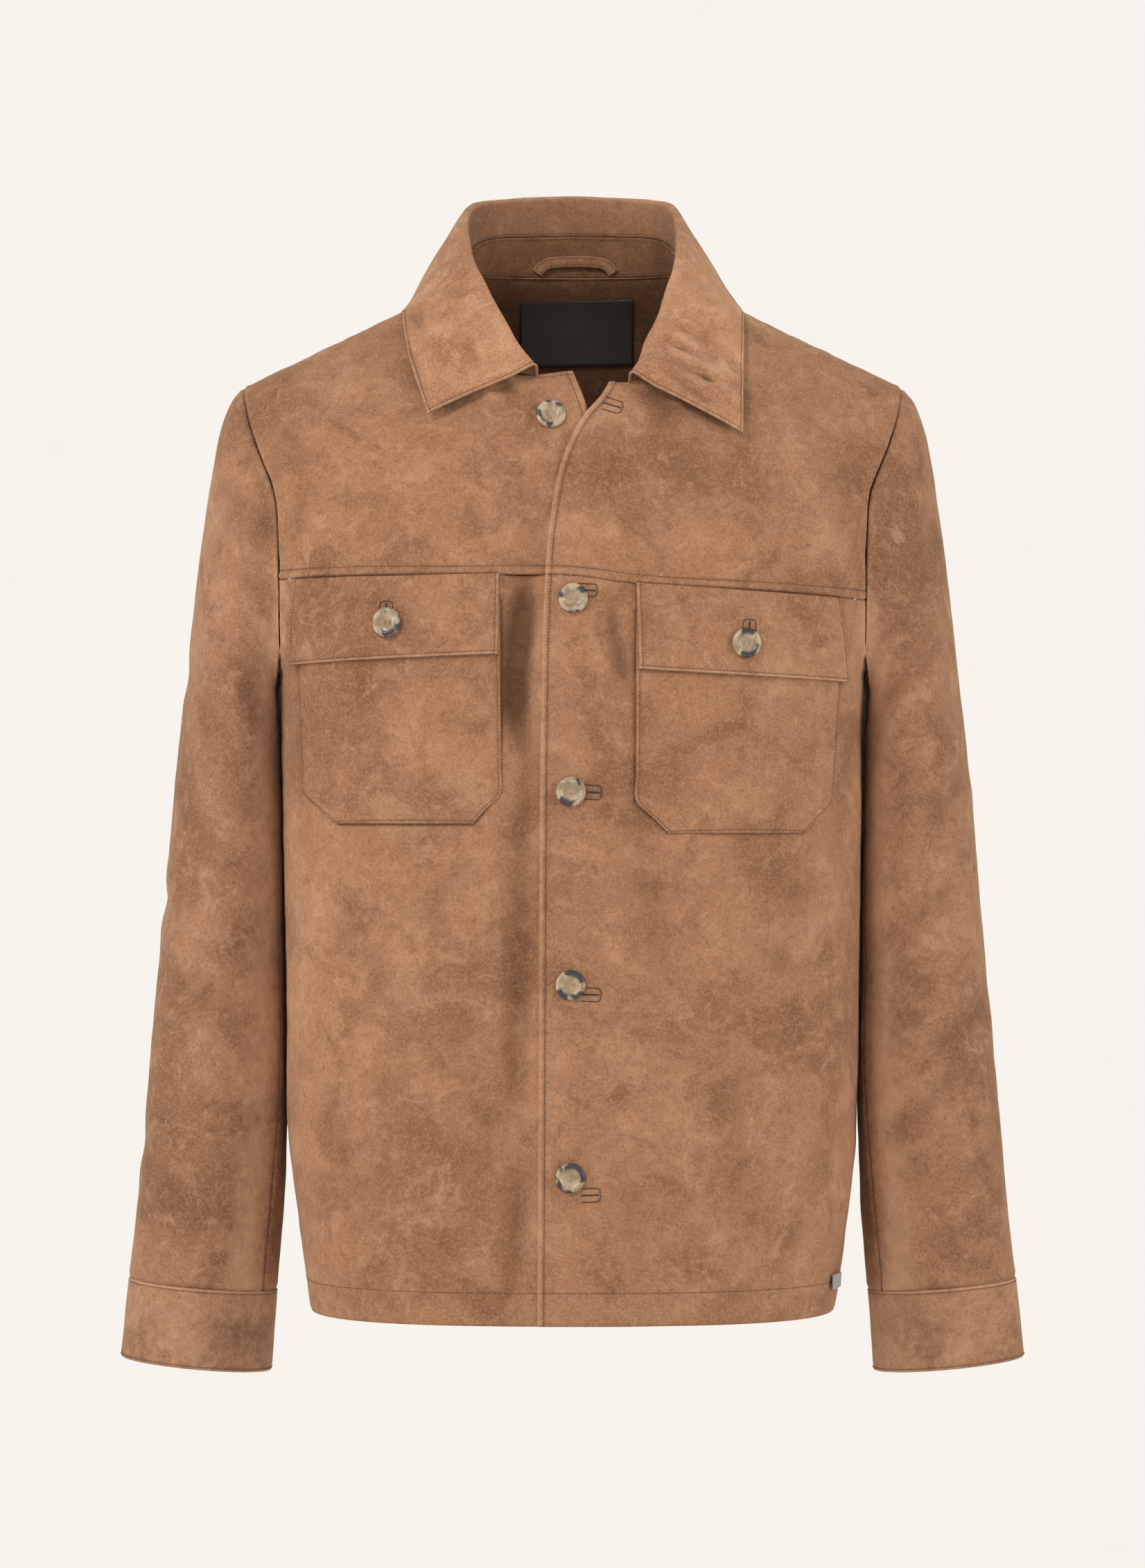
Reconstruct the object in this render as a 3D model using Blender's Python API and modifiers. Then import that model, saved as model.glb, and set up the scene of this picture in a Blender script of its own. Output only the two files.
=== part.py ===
"""Leather overshirt, filled out as if worn: yoked button front, one-piece back,
two-piece sleeves with cuffs, turned-down collar on a stand, two flapped chest pockets.

Frame: +X is the viewer's right, the front faces -Y, +Z is up. The origin lies between
the shoulders at the level where the shoulder line meets the collar. Tables are in
millimetres and MM turns them into metres; "left" and "right" are the viewer's.
"""
import math

import bpy
import numpy as np
from mathutils import Vector
from mathutils.bvhtree import BVHTree

MM = 0.001

# Cloth and seams, mm
LEATHER = 1.5            # one layer of suede
COLLAR_LEATHER = 2.0     # two skived layers
FLAP_LEATHER = 1.8       # two skived layers
LOOP_LEATHER = 1.4
LABEL_CLOTH = 0.8
SEAM_GAP = 0.35          # clearance between two pieces at a flat seam
SIDE_SEAM_SHARE = 0.0007 # the same clearance at the side seam, as a share of a quarter section
ARMHOLE_GAP = 1.9        # wider, because the two walls meet at an angle
LAP_LIFT = 2.4           # the overlapping front lies this far outside the other
YOKE_LIFT = 1.0          # the yoke's lower edge stands proud of the panel below

# Levels, mm above the origin
UNDERARM_Z = -255.0
HEM_Z = -687.0
SHOULDER_TIP_Z = -53.0
NECK_POINT_X = 78.0
SHOULDER_TIP_X = 227.0
ROUND_OVER = 150.0       # the chest rounds over into the shoulder in this height
SQUARENESS = 2.8         # exponent of the body's sections

# Body sections: height, half width, depth in front and behind
SECTIONS = (
    # z, half_width, front, back
    (60.0, 250.0, 46.0, 66.0),
    (31.0, 250.0, 55.0, 72.0),
    (0.0, 249.0, 67.0, 86.0),
    (-30.0, 247.0, 78.0, 98.0),
    (-60.0, 243.0, 88.0, 108.0),
    (-100.0, 229.0, 101.0, 118.0),
    (-130.0, 218.0, 110.0, 124.0),
    (-160.0, 213.0, 118.0, 128.0),
    (-190.0, 211.0, 124.0, 130.0),
    (-220.0, 208.0, 128.0, 130.0),
    (-240.0, 205.0, 129.5, 129.0),
    (-255.0, 201.0, 130.0, 128.0),
    (-300.0, 199.5, 130.0, 126.0),
    (-400.0, 198.5, 131.0, 125.0),
    (-500.0, 197.0, 134.0, 129.0),
    (-560.0, 195.5, 137.0, 134.0),
    (-616.0, 190.0, 141.0, 139.0),
    (-660.0, 184.5, 145.0, 144.0),
    (-687.0, 180.5, 147.0, 147.0),
)

# Shoulder line seen from the front, carried on up inside the neck
SHOULDER_LINE = (
    # x, z
    (0.0, 150.0),
    (40.0, 112.0),
    (60.0, 76.0),
    (70.0, 50.0),
    (78.0, 28.0),
    (90.0, 14.5),
    (117.0, 0.0),
    (227.0, -53.0),
    (260.0, -70.0),
)

# Armhole seam: height, distance from the middle
ARMHOLE = (
    # z, x
    (0.0, 227.0),
    (-53.0, 227.0),
    (-76.0, 223.0),
    (-94.0, 217.0),
    (-111.0, 210.0),
    (-125.0, 204.5),
    (-141.0, 201.5),
    (-165.0, 200.2),
    (-200.0, 199.6),
    (-235.0, 199.6),
)

# Upper edges of the fronts and back, from the middle out to the neck point
OVERLAP_NECK = (
    # x, z
    (25.3, -54.0),
    (37.0, -55.5),
    (46.0, -53.0),
    (55.0, -44.5),
    (63.0, -30.0),
    (69.0, -12.0),
    (73.5, 5.0),
    (76.0, 18.0),
    (77.5, 27.0),
    (78.0, 28.0),
)
UNDERLAP_NECK = (
    # x, z
    (0.0, -47.0),
    (23.0, -50.0),
    (34.0, -51.0),
    (44.0, -48.0),
    (53.0, -40.5),
    (61.0, -26.0),
    (68.0, -8.0),
    (73.0, 7.0),
    (76.0, 19.0),
    (77.5, 27.0),
    (78.0, 28.0),
)
BACK_NECK = (
    # x, z
    (0.0, 31.0),
    (40.0, 31.0),
    (66.0, 30.5),
    (78.0, 28.0),
)

# Front edges: how far each reaches past the middle line (negative: across it)
OVERLAP_EDGE = (
    # z, x
    (-54.0, 25.3),
    (-65.0, 18.7),
    (-75.0, 9.8),
    (-84.0, 3.7),
    (-98.0, -3.2),
    (-111.0, -7.9),
    (-128.0, -12.0),
    (-146.0, -14.8),
    (-164.0, -17.1),
    (-188.0, -18.6),
    (-230.0, -20.3),
    (-280.0, -21.3),
    (-440.0, -22.5),
    (-687.0, -23.5),
)
UNDERLAP_EDGE = (
    # z, x
    (-47.0, 0.0),
    (-71.0, -9.2),
    (-100.0, -16.0),
    (-130.0, -20.0),
    (-160.0, -21.0),
    (-687.0, -21.0),
)

# Yoke seam: distance from the middle, height on each side
YOKE_SEAM = (
    # x, left_z, right_z
    (-24.0, -187.0, -186.5),
    (0.0, -187.0, -187.5),
    (43.0, -187.0, -193.0),
    (135.0, -187.0, -198.0),
    (201.0, -188.0, -202.0),
)

# Large folds pressed into the panels (depth is inward, so a negative one is a ridge)
LEFT_FOLDS = (
    # x, z_top, z_bottom, half_width, depth
    (-36.0, -170.0, -380.0, 13.0, 3.0),
    (-39.0, -340.0, -690.0, 16.0, 6.0),
    (-72.0, -420.0, -660.0, 20.0, -2.5),
    (-150.0, -390.0, -600.0, 24.0, 2.5),
)
RIGHT_FOLDS = (
    # x, z_top, z_bottom, half_width, depth
    (84.0, -380.0, -660.0, 26.0, 3.0),
    (150.0, -380.0, -580.0, 20.0, -2.0),
)
BACK_FOLDS = (
    # x, z_top, z_bottom, half_width, depth
    (-95.0, -150.0, -600.0, 26.0, 4.0),
    (-22.0, -330.0, -690.0, 24.0, 4.0),
    (40.0, -200.0, -690.0, 26.0, 3.0),
    (118.0, -180.0, -520.0, 24.0, 4.0),
)

# Sleeve: heights of a ring at its outer and inner side, half depth front to back
SLEEVE_RINGS = (
    # outer_z, inner_z, half_depth, middle_y
    (-53.0, -255.0, 62.0, 6.0),
    (-62.0, -263.0, 64.0, 8.0),
    (-78.0, -271.0, 68.0, 11.0),
    (-100.0, -280.0, 72.0, 14.0),
    (-130.0, -291.0, 75.0, 17.0),
    (-168.0, -305.0, 76.0, 19.0),
    (-212.0, -324.0, 75.0, 20.0),
    (-262.0, -350.0, 72.0, 20.0),
    (-316.0, -382.0, 68.0, 18.0),
    (-372.0, -415.0, 64.0, 15.0),
    (-428.0, -460.0, 60.0, 11.0),
    (-484.0, -507.0, 56.5, 6.0),
    (-540.0, -556.0, 53.5, 1.0),
    (-604.0, -616.0, 50.0, -4.0),
    (-668.0, -676.5, 46.5, -8.0),
)
CUFF_RINGS = (
    # outer_z, inner_z, half_depth, middle_y
    (-668.5, -677.0, 47.0, -8.0),
    (-686.0, -695.0, 46.5, -8.8),
    (-703.0, -713.0, 46.0, -9.6),
    (-721.0, -731.0, 45.5, -10.4),
)
SLEEVE_OUTER = (
    # z, x
    (-53.0, 227.0),
    (-58.0, 233.0),
    (-64.0, 236.8),
    (-76.0, 242.0),
    (-88.0, 246.0),
    (-112.0, 250.6),
    (-148.0, 256.3),
    (-196.0, 262.5),
    (-244.0, 268.2),
    (-292.0, 273.1),
    (-340.0, 277.8),
    (-388.0, 281.8),
    (-436.0, 285.8),
    (-484.0, 289.8),
    (-532.0, 293.6),
    (-580.0, 297.2),
    (-628.0, 302.0),
    (-676.0, 307.2),
    (-722.0, 311.8),
)
SLEEVE_INNER = (
    # z, x
    (-255.0, 202.0),
    (-266.0, 202.0),
    (-300.0, 197.0),
    (-400.0, 190.0),
    (-500.0, 190.0),
    (-560.0, 193.0),
    (-585.0, 195.5),
    (-616.0, 198.6),
    (-640.0, 200.6),
    (-676.0, 204.0),
    (-732.0, 207.6),
)
SLEEVE_CLEARANCE = 0.9   # the sleeve hangs this close beside the body
SLEEVE_SOFTNESS = 4.0    # how softly its round section gives way to the body's side
SLEEVE_BLEND_RINGS = 6   # the sleeve's head takes the armhole's shape over these rings
SEAM_FRONT_TURN = 148.0  # degrees round the sleeve from its outer side
SEAM_BACK_TURN = 232.0
SLEEVE_SEAM_TURN = 0.45   # degrees that each piece stops short of a sleeve seam
SLEEVE_FOLDS = (
    # turn, place along the sleeve (0 head, 1 cuff), slant, half_width, depth
    (60.0, 0.30, 0.10, 0.045, 3.0),
    (80.0, 0.52, -0.12, 0.030, 2.5),
    (110.0, 0.68, 0.10, 0.030, 2.5),
    (300.0, 0.40, 0.12, 0.040, 3.0),
    (270.0, 0.62, -0.10, 0.035, 2.5),
)

# Collar stations from its left front end round the back to the right one
COLLAR = (
    # roll_x, roll_y, roll_z, edge_x, edge_y, edge_z
    (-22.5, -95.0, -43.5, -98.0, -95.0, -77.0),
    (-33.0, -87.0, -33.0, -105.0, -84.0, -57.0),
    (-42.0, -76.0, -19.0, -112.0, -70.0, -35.0),
    (-51.0, -64.0, -4.0, -116.0, -48.0, -14.0),
    (-59.0, -49.0, 15.0, -118.0, -22.0, -2.0),
    (-67.0, -30.0, 37.0, -119.5, 0.0, -2.0),
    (-71.5, 2.0, 64.0, -117.0, 26.0, -3.0),
    (-65.0, 38.0, 79.0, -103.0, 60.0, 0.0),
    (-40.0, 60.0, 85.0, -62.0, 85.0, 8.0),
    (0.0, 68.5, 88.0, 0.0, 94.0, 12.0),
    (40.0, 60.0, 85.0, 62.0, 85.0, 8.0),
    (64.0, 38.0, 79.0, 103.0, 60.0, 0.0),
    (70.5, 2.0, 60.0, 117.0, 26.0, -3.0),
    (69.0, -28.0, 36.0, 119.5, 0.0, -2.0),
    (63.0, -48.0, 13.0, 118.5, -22.0, -5.0),
    (56.0, -64.0, -9.0, 117.5, -48.0, -22.0),
    (48.0, -78.0, -26.0, 116.5, -68.0, -45.0),
    (44.0, -88.0, -39.0, 116.0, -84.0, -68.0),
    (37.5, -97.0, -49.0, 115.5, -96.0, -90.0),
)
NECK_TURNS = (6, 12)     # the collar's stations at the two neck points
COLLAR_ENDS = (23.0, 37.0)   # where the collar's ends meet the left and right front
STAND_SHARE = 0.50       # the stand takes this share of the rise from seam to roll
STAND_TAPER = 0.36       # share of the collar's length over which the stand tapers out
STAND_INSET = 6          # stations at each end of the collar that have no stand
STAND_GAP = 2.6          # the stand's lower edge above the neck seam, whose walls meet at an angle
COLLAR_GAP = 1.5         # the collar's lower edge above the stand
ROLL_RADIUS = 4.0
LEAF_BULGE = 4.0
LEAF_CLEARANCE = 1.2     # between the leaf's underside and what it lies on
FACING_DOWN = -0.2       # panels whose normal points lower than this don't carry the leaf
LEAF_REACH = 25.0        # a leaf point deeper than this inside a panel is left alone
EDGE_NEAR = 3.0          # past a panel's edge by this much, the leaf is still held clear of it
EDGE_FADE = 12.0         # and over this much more it is let go
LEAF_FIRST_ROW = 7       # the collar's rows before this one stand up and roll over

# Chest pockets and flaps: corners as (x, z)
POCKET_LEFT = (
    # z, outer_x, inner_x
    (-205.0, -186.5, -48.5),
    (-240.0, -185.5, -48.5),
    (-332.5, -181.0, -47.8),
    (-353.5, -158.5, -66.5),
)
POCKET_RIGHT = (
    # z, inner_x, outer_x
    (-212.0, 42.5, 180.5),
    (-250.0, 42.3, 180.8),
    (-338.0, 42.0, 174.5),
    (-360.0, 64.0, 155.5),
)
FLAP_LEFT = ((-187.0, -190.6), (-49.0, -188.2), (-50.4, -240.5), (-188.0, -245.5))
FLAP_RIGHT = ((42.5, -194.6), (180.0, -203.2), (183.0, -258.0), (43.9, -250.5))
POCKET_OFFSET = 3.0      # outer face of a pocket above its panel
FLAP_OFFSET = 5.7        # outer face of a flap above its panel

# Buttons: 20 mm, slightly dished
BUTTON_RADIUS = 10.0
BUTTON_THICKNESS = 3.2
BUTTON_STANDOFF = 0.4
BUTTON_SEGMENTS = 20
FRONT_BUTTONS = (
    # x, z
    (-14.5, -78.0),
    (0.5, -203.0),
    (-0.9, -332.0),
    (-1.3, -461.0),
    (-1.4, -589.0),
)
FLAP_BUTTONS = (
    # x, z
    (-122.0, -219.5),
    (114.5, -233.0),
)

# Trim inside the back neck and in the side seam
LOOP_PATH = (
    # x, z, distance in front of the stand
    (-25.0, 33.0, 0.6),
    (-22.0, 37.0, 1.6),
    (-15.0, 40.5, 2.6),
    (2.0, 41.5, 3.2),
    (19.0, 40.5, 2.6),
    (26.0, 37.0, 1.6),
    (29.0, 33.0, 0.6),
)
LOOP_WIDTH = 8.0
NECK_LABEL = ((-37.5, 15.0), (43.5, 17.0), (43.0, -28.0), (-37.0, -29.5))
LABEL_OFFSET = 3.6       # outer face of the neck label inside the back's outer face
SIDE_LABEL_Z = (-659.5, -670.0)
SIDE_LABEL_X = (174.5, 177.0, 179.0, 181.0)
SIDE_LABEL_OFFSET = 2.6

# Colours, roughness
SUEDE = ("suede", (0.36, 0.19, 0.11, 1.0), 0.9)
HORN = ("horn", (0.42, 0.33, 0.20, 1.0), 0.3)
BLACK_SATIN = ("black_satin", (0.02, 0.016, 0.015, 1.0), 0.45)
GREY_TAPE = ("grey_tape", (0.45, 0.45, 0.46, 1.0), 0.6)


# ---------------------------------------------------------------- small maths

def curve(rows, column=1):
    """A smooth function through a table's rows, which never overshoots them."""
    data = np.array(rows, dtype=float)
    order = np.argsort(data[:, 0])
    xs = data[order, 0]
    ys = data[order, column]
    steps = np.diff(xs)
    slopes = np.diff(ys) / steps
    tangents = np.zeros(len(xs))
    tangents[0] = slopes[0]
    tangents[-1] = slopes[-1]
    for i in range(1, len(xs) - 1):
        if slopes[i - 1] * slopes[i] > 0:
            before = steps[i] * 2 + steps[i - 1]
            after = steps[i] + steps[i - 1] * 2
            tangents[i] = (before + after) / (before / slopes[i - 1] + after / slopes[i])

    def value(x):
        x = min(max(x, xs[0]), xs[-1])
        i = min(max(int(np.searchsorted(xs, x)) - 1, 0), len(steps) - 1)
        h = steps[i]
        s = (x - xs[i]) / h
        return (ys[i] * (1 + 2 * s) * (1 - s) ** 2 + tangents[i] * h * s * (1 - s) ** 2
                + ys[i + 1] * s * s * (3 - 2 * s) + tangents[i + 1] * h * s * s * (s - 1))
    return value


def straight(rows, column=1):
    """Straight lines through a table's rows."""
    data = np.array(sorted(rows), dtype=float)
    return lambda x: float(np.interp(x, data[:, 0], data[:, column]))


def ease(x):
    x = min(max(x, 0.0), 1.0)
    return x * x * (3 - 2 * x)


def spread(points, count):
    """`count` points evenly spaced along a polyline."""
    pts = np.array(points, dtype=float)
    length = np.concatenate([[0], np.cumsum(np.linalg.norm(np.diff(pts, axis=0), axis=1))])
    wanted = np.linspace(0, length[-1], count)
    return np.stack([np.interp(wanted, length, pts[:, k]) for k in range(pts.shape[1])], axis=1)


def resample(rows, count):
    """`count` points on a smooth curve through a table's rows."""
    data = np.array(rows, dtype=float)
    keys = np.arange(len(data))
    columns = [curve(np.stack([keys, data[:, k]], axis=1)) for k in range(data.shape[1])]
    return np.array([[c(k) for c in columns] for k in np.linspace(0, len(data) - 1, count)])


# ---------------------------------------------------------------- body surface

half_width = curve(SECTIONS, 1)
front_depth = curve(SECTIONS, 2)
back_depth = curve(SECTIONS, 3)
shoulder_z = curve(SHOULDER_LINE)
armhole_x = curve(ARMHOLE)


def fold_depth(x, z, folds):
    total = 0.0
    for centre, top, bottom, width, depth in folds:
        along = ease((top - z) / 60.0) * ease((z - bottom) / 60.0)
        total += depth * along * math.exp(-((x - centre) / width) ** 2)
    return total


def quarter(z, back):
    """A quarter of the body's section from the middle to the side: x, depth, arc share."""
    wide = half_width(z)
    deep = back_depth(z) if back else front_depth(z)
    turn = np.linspace(0, math.pi / 2, 121)
    x = wide * np.sin(turn) ** (2 / SQUARENESS)
    y = deep * np.cos(turn) ** (2 / SQUARENESS)
    y[-1] = 0.0
    drop = np.array([shoulder_z(v) for v in x]) - z
    share = np.clip(drop / ROUND_OVER, 0, 1)
    y = y * np.sqrt(1 - (1 - share) ** 2.2)
    arc = np.concatenate([[0], np.cumsum(np.hypot(np.diff(x), np.diff(y)))])
    return x, y, arc / arc[-1]


def on_body(side, share, z, back=False):
    """The point a share of the way from the middle to the side seam, on side -1 or 1.

    A negative share lies across the middle, and keeps the folds of its own side.
    """
    x, y, arc = quarter(z, back)
    across = abs(share)
    sign = side if share >= 0 else -side
    px = sign * float(np.interp(across, arc, x))
    depth = float(np.interp(across, arc, y))
    fade = ease(depth / 50.0)
    if back:
        return np.array([px, depth - fade * fold_depth(px, z, BACK_FOLDS), z])
    folds = LEFT_FOLDS if side < 0 else RIGHT_FOLDS
    return np.array([px, -depth + fade * fold_depth(px, z, folds), z])


def share_at(x, z, back=False):
    xs, _, arc = quarter(z, back)
    return math.copysign(float(np.interp(abs(x), xs, arc)), x)


def side_share(z, back=False):
    """Where a panel ends: at the armhole above the underarm, at the side seam below it."""
    if z <= UNDERARM_Z:
        return 1.0
    low = ease((z - UNDERARM_Z) / 20.0) ** 0.5
    at_edge = share_at(armhole_x(z), z, back)
    return at_edge * low + (1.0 - low)


def lap(x):
    """How far the overlapping front stands outside the body surface near its edge."""
    return LAP_LIFT * (1 - ease((x - 25.0) / 40.0))


# ---------------------------------------------------------------- cloth meshes

def material(name, colour, roughness):
    mat = bpy.data.materials.get(name)
    if mat is None:
        mat = bpy.data.materials.new(name)
        mat.use_nodes = True
        shader = mat.node_tree.nodes["Principled BSDF"]
        shader.inputs["Base Color"].default_value = colour
        shader.inputs["Roughness"].default_value = roughness
        shader.inputs["Metallic"].default_value = 0.0
    return mat


def cloth(name, grid, colour, thickness=LEATHER, closed=False, centre=(0.0, 0.0), even=True):
    """A wall of cloth from a grid of points in mm, thickened to its inner side.

    The grid's faces are turned to look away from `centre`.
    """
    grid = np.array(grid)
    rows, cols = grid.shape[:2]
    verts = [tuple(p * MM) for p in grid.reshape(-1, 3)]
    faces = []
    for r in range(rows - 1):
        for c in range(cols if closed else cols - 1):
            d = (c + 1) % cols
            faces.append((r * cols + c, r * cols + d, (r + 1) * cols + d, (r + 1) * cols + c))
    mesh = bpy.data.meshes.new(name)
    mesh.from_pydata(verts, [], faces)
    mesh.update()
    facing = sum(p.area * p.normal.xy.dot(p.center.xy - Vector(centre) * MM)
                 for p in mesh.polygons)
    if facing < 0:
        mesh.flip_normals()
    mesh.shade_smooth()
    obj = bpy.data.objects.new(name, mesh)
    mesh.materials.append(material(*colour))
    wall = obj.modifiers.new("wall", "SOLIDIFY")
    wall.thickness = thickness * MM
    wall.offset = -1.0
    wall.use_even_offset = even
    wall.use_quality_normals = True
    return obj


# ---------------------------------------------------------------- fronts and back

def neck_line(neck, place, count):
    """`count` (x, z) places on a neckline, evenly spaced along it on the body's surface."""
    fine = spread(neck, 61)
    points = np.array([place(x, z) for x, z in fine])
    length = np.linalg.norm(np.diff(points, axis=0), axis=1)
    length = np.concatenate([[0], np.cumsum(length)])
    wanted = np.linspace(0, length[-1], count)
    return np.stack([np.interp(wanted, length, fine[:, k]) for k in (0, 1)], axis=1)


def front_place(x, z):
    return on_body(1, share_at(x, z), z)


def back_place(x, z):
    return on_body(1, share_at(x, z, True), z, True)


def neck_to_tip(neck, place, neck_steps, shoulder_steps):
    """The upper edge of a panel, from the middle round the neck and out to the shoulder tip."""
    around = neck_line(neck, place, neck_steps + 1)
    xs = np.linspace(NECK_POINT_X, SHOULDER_TIP_X, shoulder_steps + 1)[1:]
    return np.concatenate([around, np.array([[x, shoulder_z(x)] for x in xs])])


def seam_level(edge_x, seam, u):
    """The yoke seam's height a share `u` of the way from the front edge to the armhole."""
    level = seam(0.0)
    near = share_at(edge_x(level), level)
    x = on_body(1, near + (side_share(level) - near) * u, level)[0]
    return seam(x)


def yoke_grid(side, neck, edge, seam_column, lifted, neck_steps=7, shoulder_steps=7, rows=9):
    top = neck_to_tip(neck, front_place, neck_steps, shoulder_steps)
    edge_x = curve(edge)
    seam = curve(YOKE_SEAM, seam_column)
    last = len(top) - 1
    grid = []
    for r in range(rows + 1):
        v = r / rows
        row = []
        for c, (top_x, top_z) in enumerate(top):
            u = c / last
            z = top_z + (seam_level(edge_x, seam, u) - top_z) * v ** 1.7
            start = share_at(edge_x(top_z), top_z)
            end = yoke_end(top_z)
            first = (share_at(top_x, top_z) - start) / (end - start)
            near = share_at(edge_x(z), z)
            share = near + (yoke_end(z) - near) * (first + (u - first) * ease(v))
            point = on_body(side, share, z)
            if r == 0 and top_x >= NECK_POINT_X:
                point = np.array([side * top_x, -SEAM_GAP, top_z])
            point[1] -= YOKE_LIFT * ease((v - 0.75) / 0.25)
            if lifted:
                point[1] -= lap(point[0]) * ease(v * 4)
            row.append(point)
        grid.append(row)
    return np.array(grid)


def yoke_end(z):
    """The armhole edge of a yoke; above the shoulder tip it keeps the tip's distance."""
    return side_share(z) if z < SHOULDER_TIP_Z else share_at(SHOULDER_TIP_X, z)


def lower_grid(side, edge, seam_column, lifted, cols=14):
    edge_x = curve(edge)
    seam = curve(YOKE_SEAM, seam_column)
    levels = [seam(0.0), -205.0, -220.0, -235.0, -246.0, UNDERARM_Z]
    levels += list(np.linspace(-278.0, HEM_Z, 14))
    grid = []
    for z_row in levels:
        settle = 1 - ease((levels[0] - z_row) / (levels[0] - UNDERARM_Z))
        row = []
        for c in range(cols + 1):
            u = c / cols
            z = z_row + (seam_level(edge_x, seam, u) - SEAM_GAP - levels[0]) * settle
            near = share_at(edge_x(z), z)
            far = side_share(z)
            if z <= UNDERARM_Z:
                far -= SIDE_SEAM_SHARE
            point = on_body(side, near + (far - near) * u, z)
            if lifted:
                point[1] -= lap(point[0])
            row.append(point)
        grid.append(row)
    return np.array(grid)


def back_grid(cols=12):
    top = neck_to_tip(BACK_NECK, back_place, 5, cols - 5)
    levels = [-100.0, -130.0, -160.0, -190.0, -220.0, -242.0, UNDERARM_Z]
    levels += list(np.linspace(-290.0, HEM_Z, 11))
    last = len(top) - 1
    upper_rows = 6
    half = []
    for r in range(upper_rows):
        v = r / upper_rows
        row = []
        for c, (top_x, top_z) in enumerate(top):
            z = top_z + (levels[0] - top_z) * v ** 1.7
            u = c / last
            across = top_x / armhole_x(top_z)
            across += (u - across) * ease(v)
            far = side_share(z, True) if z < SHOULDER_TIP_Z else share_at(SHOULDER_TIP_X, z, True)
            share = min(share_at(armhole_x(z) * across, z, True), far) if c < last else far
            row.append((share, z, top_x if r == 0 and top_x >= NECK_POINT_X else None))
        half.append(row)
    for z in levels:
        far = side_share(z, True)
        if z <= UNDERARM_Z:
            far -= SIDE_SEAM_SHARE
        half.append([(far * c / last, z, None) for c in range(last + 1)])
    grid = []
    for row in half:
        points = []
        for side, cells in ((-1, row[:0:-1]), (1, row)):
            for share, z, seam_x in cells:
                if seam_x is None:
                    points.append(on_body(side, share, z, True))
                else:
                    points.append(np.array([side * seam_x, SEAM_GAP, z]))
        grid.append(points)
    return np.array(grid)


# ---------------------------------------------------------------- sleeves

sleeve_outer = curve(SLEEVE_OUTER)
sleeve_inner = curve(SLEEVE_INNER)


def armhole_point(turn):
    """The armhole seam of the +X side; turn 0 is the shoulder tip, 90 front, 180 underarm."""
    z = SHOULDER_TIP_Z + (UNDERARM_Z - SHOULDER_TIP_Z) * (1 - math.cos(math.radians(turn))) / 2
    back = turn % 360 > 180
    return on_body(1, side_share(z, back), z, back)


def ring_point(ring, turn):
    outer_z, inner_z, half_depth, middle_y = ring
    outer = np.array([sleeve_outer(outer_z), middle_y, outer_z])
    inner = np.array([sleeve_inner(inner_z), middle_y, inner_z])
    angle = math.radians(turn)
    point = (outer + inner) / 2 + (outer - inner) / 2 * math.cos(angle)
    point[1] -= half_depth * math.sin(angle)
    return point


def sleeve_crease(turn, along):
    total = 0.0
    for centre, place, slant, width, depth in SLEEVE_FOLDS:
        off = (turn - centre + 180) % 360 - 180
        line = place + slant * off / 90.0
        total += depth * math.exp(-((along - line) / width) ** 2) * math.exp(-(off / 55.0) ** 2)
    return total


def clear_of_body(point):
    """Keep a sleeve's inner side just outside the body, whose curve it follows."""
    x, y, z = point
    if z > UNDERARM_Z:
        return point
    deep = back_depth(z) if y > 0 else front_depth(z)
    body_x = half_width(z) * (1 - min(abs(y) / deep, 1.0) ** SQUARENESS) ** (1 / SQUARENESS)
    room = (x - body_x - SLEEVE_CLEARANCE) / SLEEVE_SOFTNESS
    return np.array([body_x + SLEEVE_CLEARANCE + SLEEVE_SOFTNESS * np.logaddexp(0, room), y, z])


def sleeve_rows(rings, turns, with_head):
    grid = []
    for r, ring in enumerate(rings):
        keep = 1 - ease(r / SLEEVE_BLEND_RINGS) if with_head else 0.0
        row = []
        for turn in turns:
            point = ring_point(ring, turn)
            point += keep * (armhole_point(turn) - ring_point(rings[0], turn))
            if with_head:
                along = r / (len(rings) - 1)
                centre = ring_point(ring, 0) / 2 + ring_point(ring, 180) / 2
                away = (point - centre) / np.linalg.norm(point - centre)
                ends = ease(along * 5) * ease((1 - along) * 5)
                point -= away * sleeve_crease(turn, along) * ends
            row.append(clear_of_body(point))
        grid.append(row)
    grid = np.array(grid)
    if with_head:
        step = grid[1] - grid[0]
        grid[0] += step / np.linalg.norm(step, axis=1, keepdims=True) * ARMHOLE_GAP
    return grid


def mirrored(grid):
    return grid * np.array([-1.0, 1.0, 1.0])


def sleeve_centre(side):
    return (side * 250.0, 0.0)


# ---------------------------------------------------------------- collar

def stand_off(grid, tree, clearance):
    """Move the points that lie closer than `clearance` to the panels outside them."""
    moved = grid.copy()
    for r in range(grid.shape[0]):
        for c in range(grid.shape[1]):
            point = Vector(grid[r, c] * MM)
            place, normal, _, gap = tree.find_nearest(point)
            height = (point - place).dot(normal) / MM
            if normal.z < FACING_DOWN or not -LEAF_REACH < height < clearance:
                continue
            beyond = math.sqrt(max((gap / MM) ** 2 - height ** 2, 0.0))
            share = 1 - ease((beyond - EDGE_NEAR) / EDGE_FADE)
            moved[r, c] += np.array(normal) * (clearance - height) * share
    return moved


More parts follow.
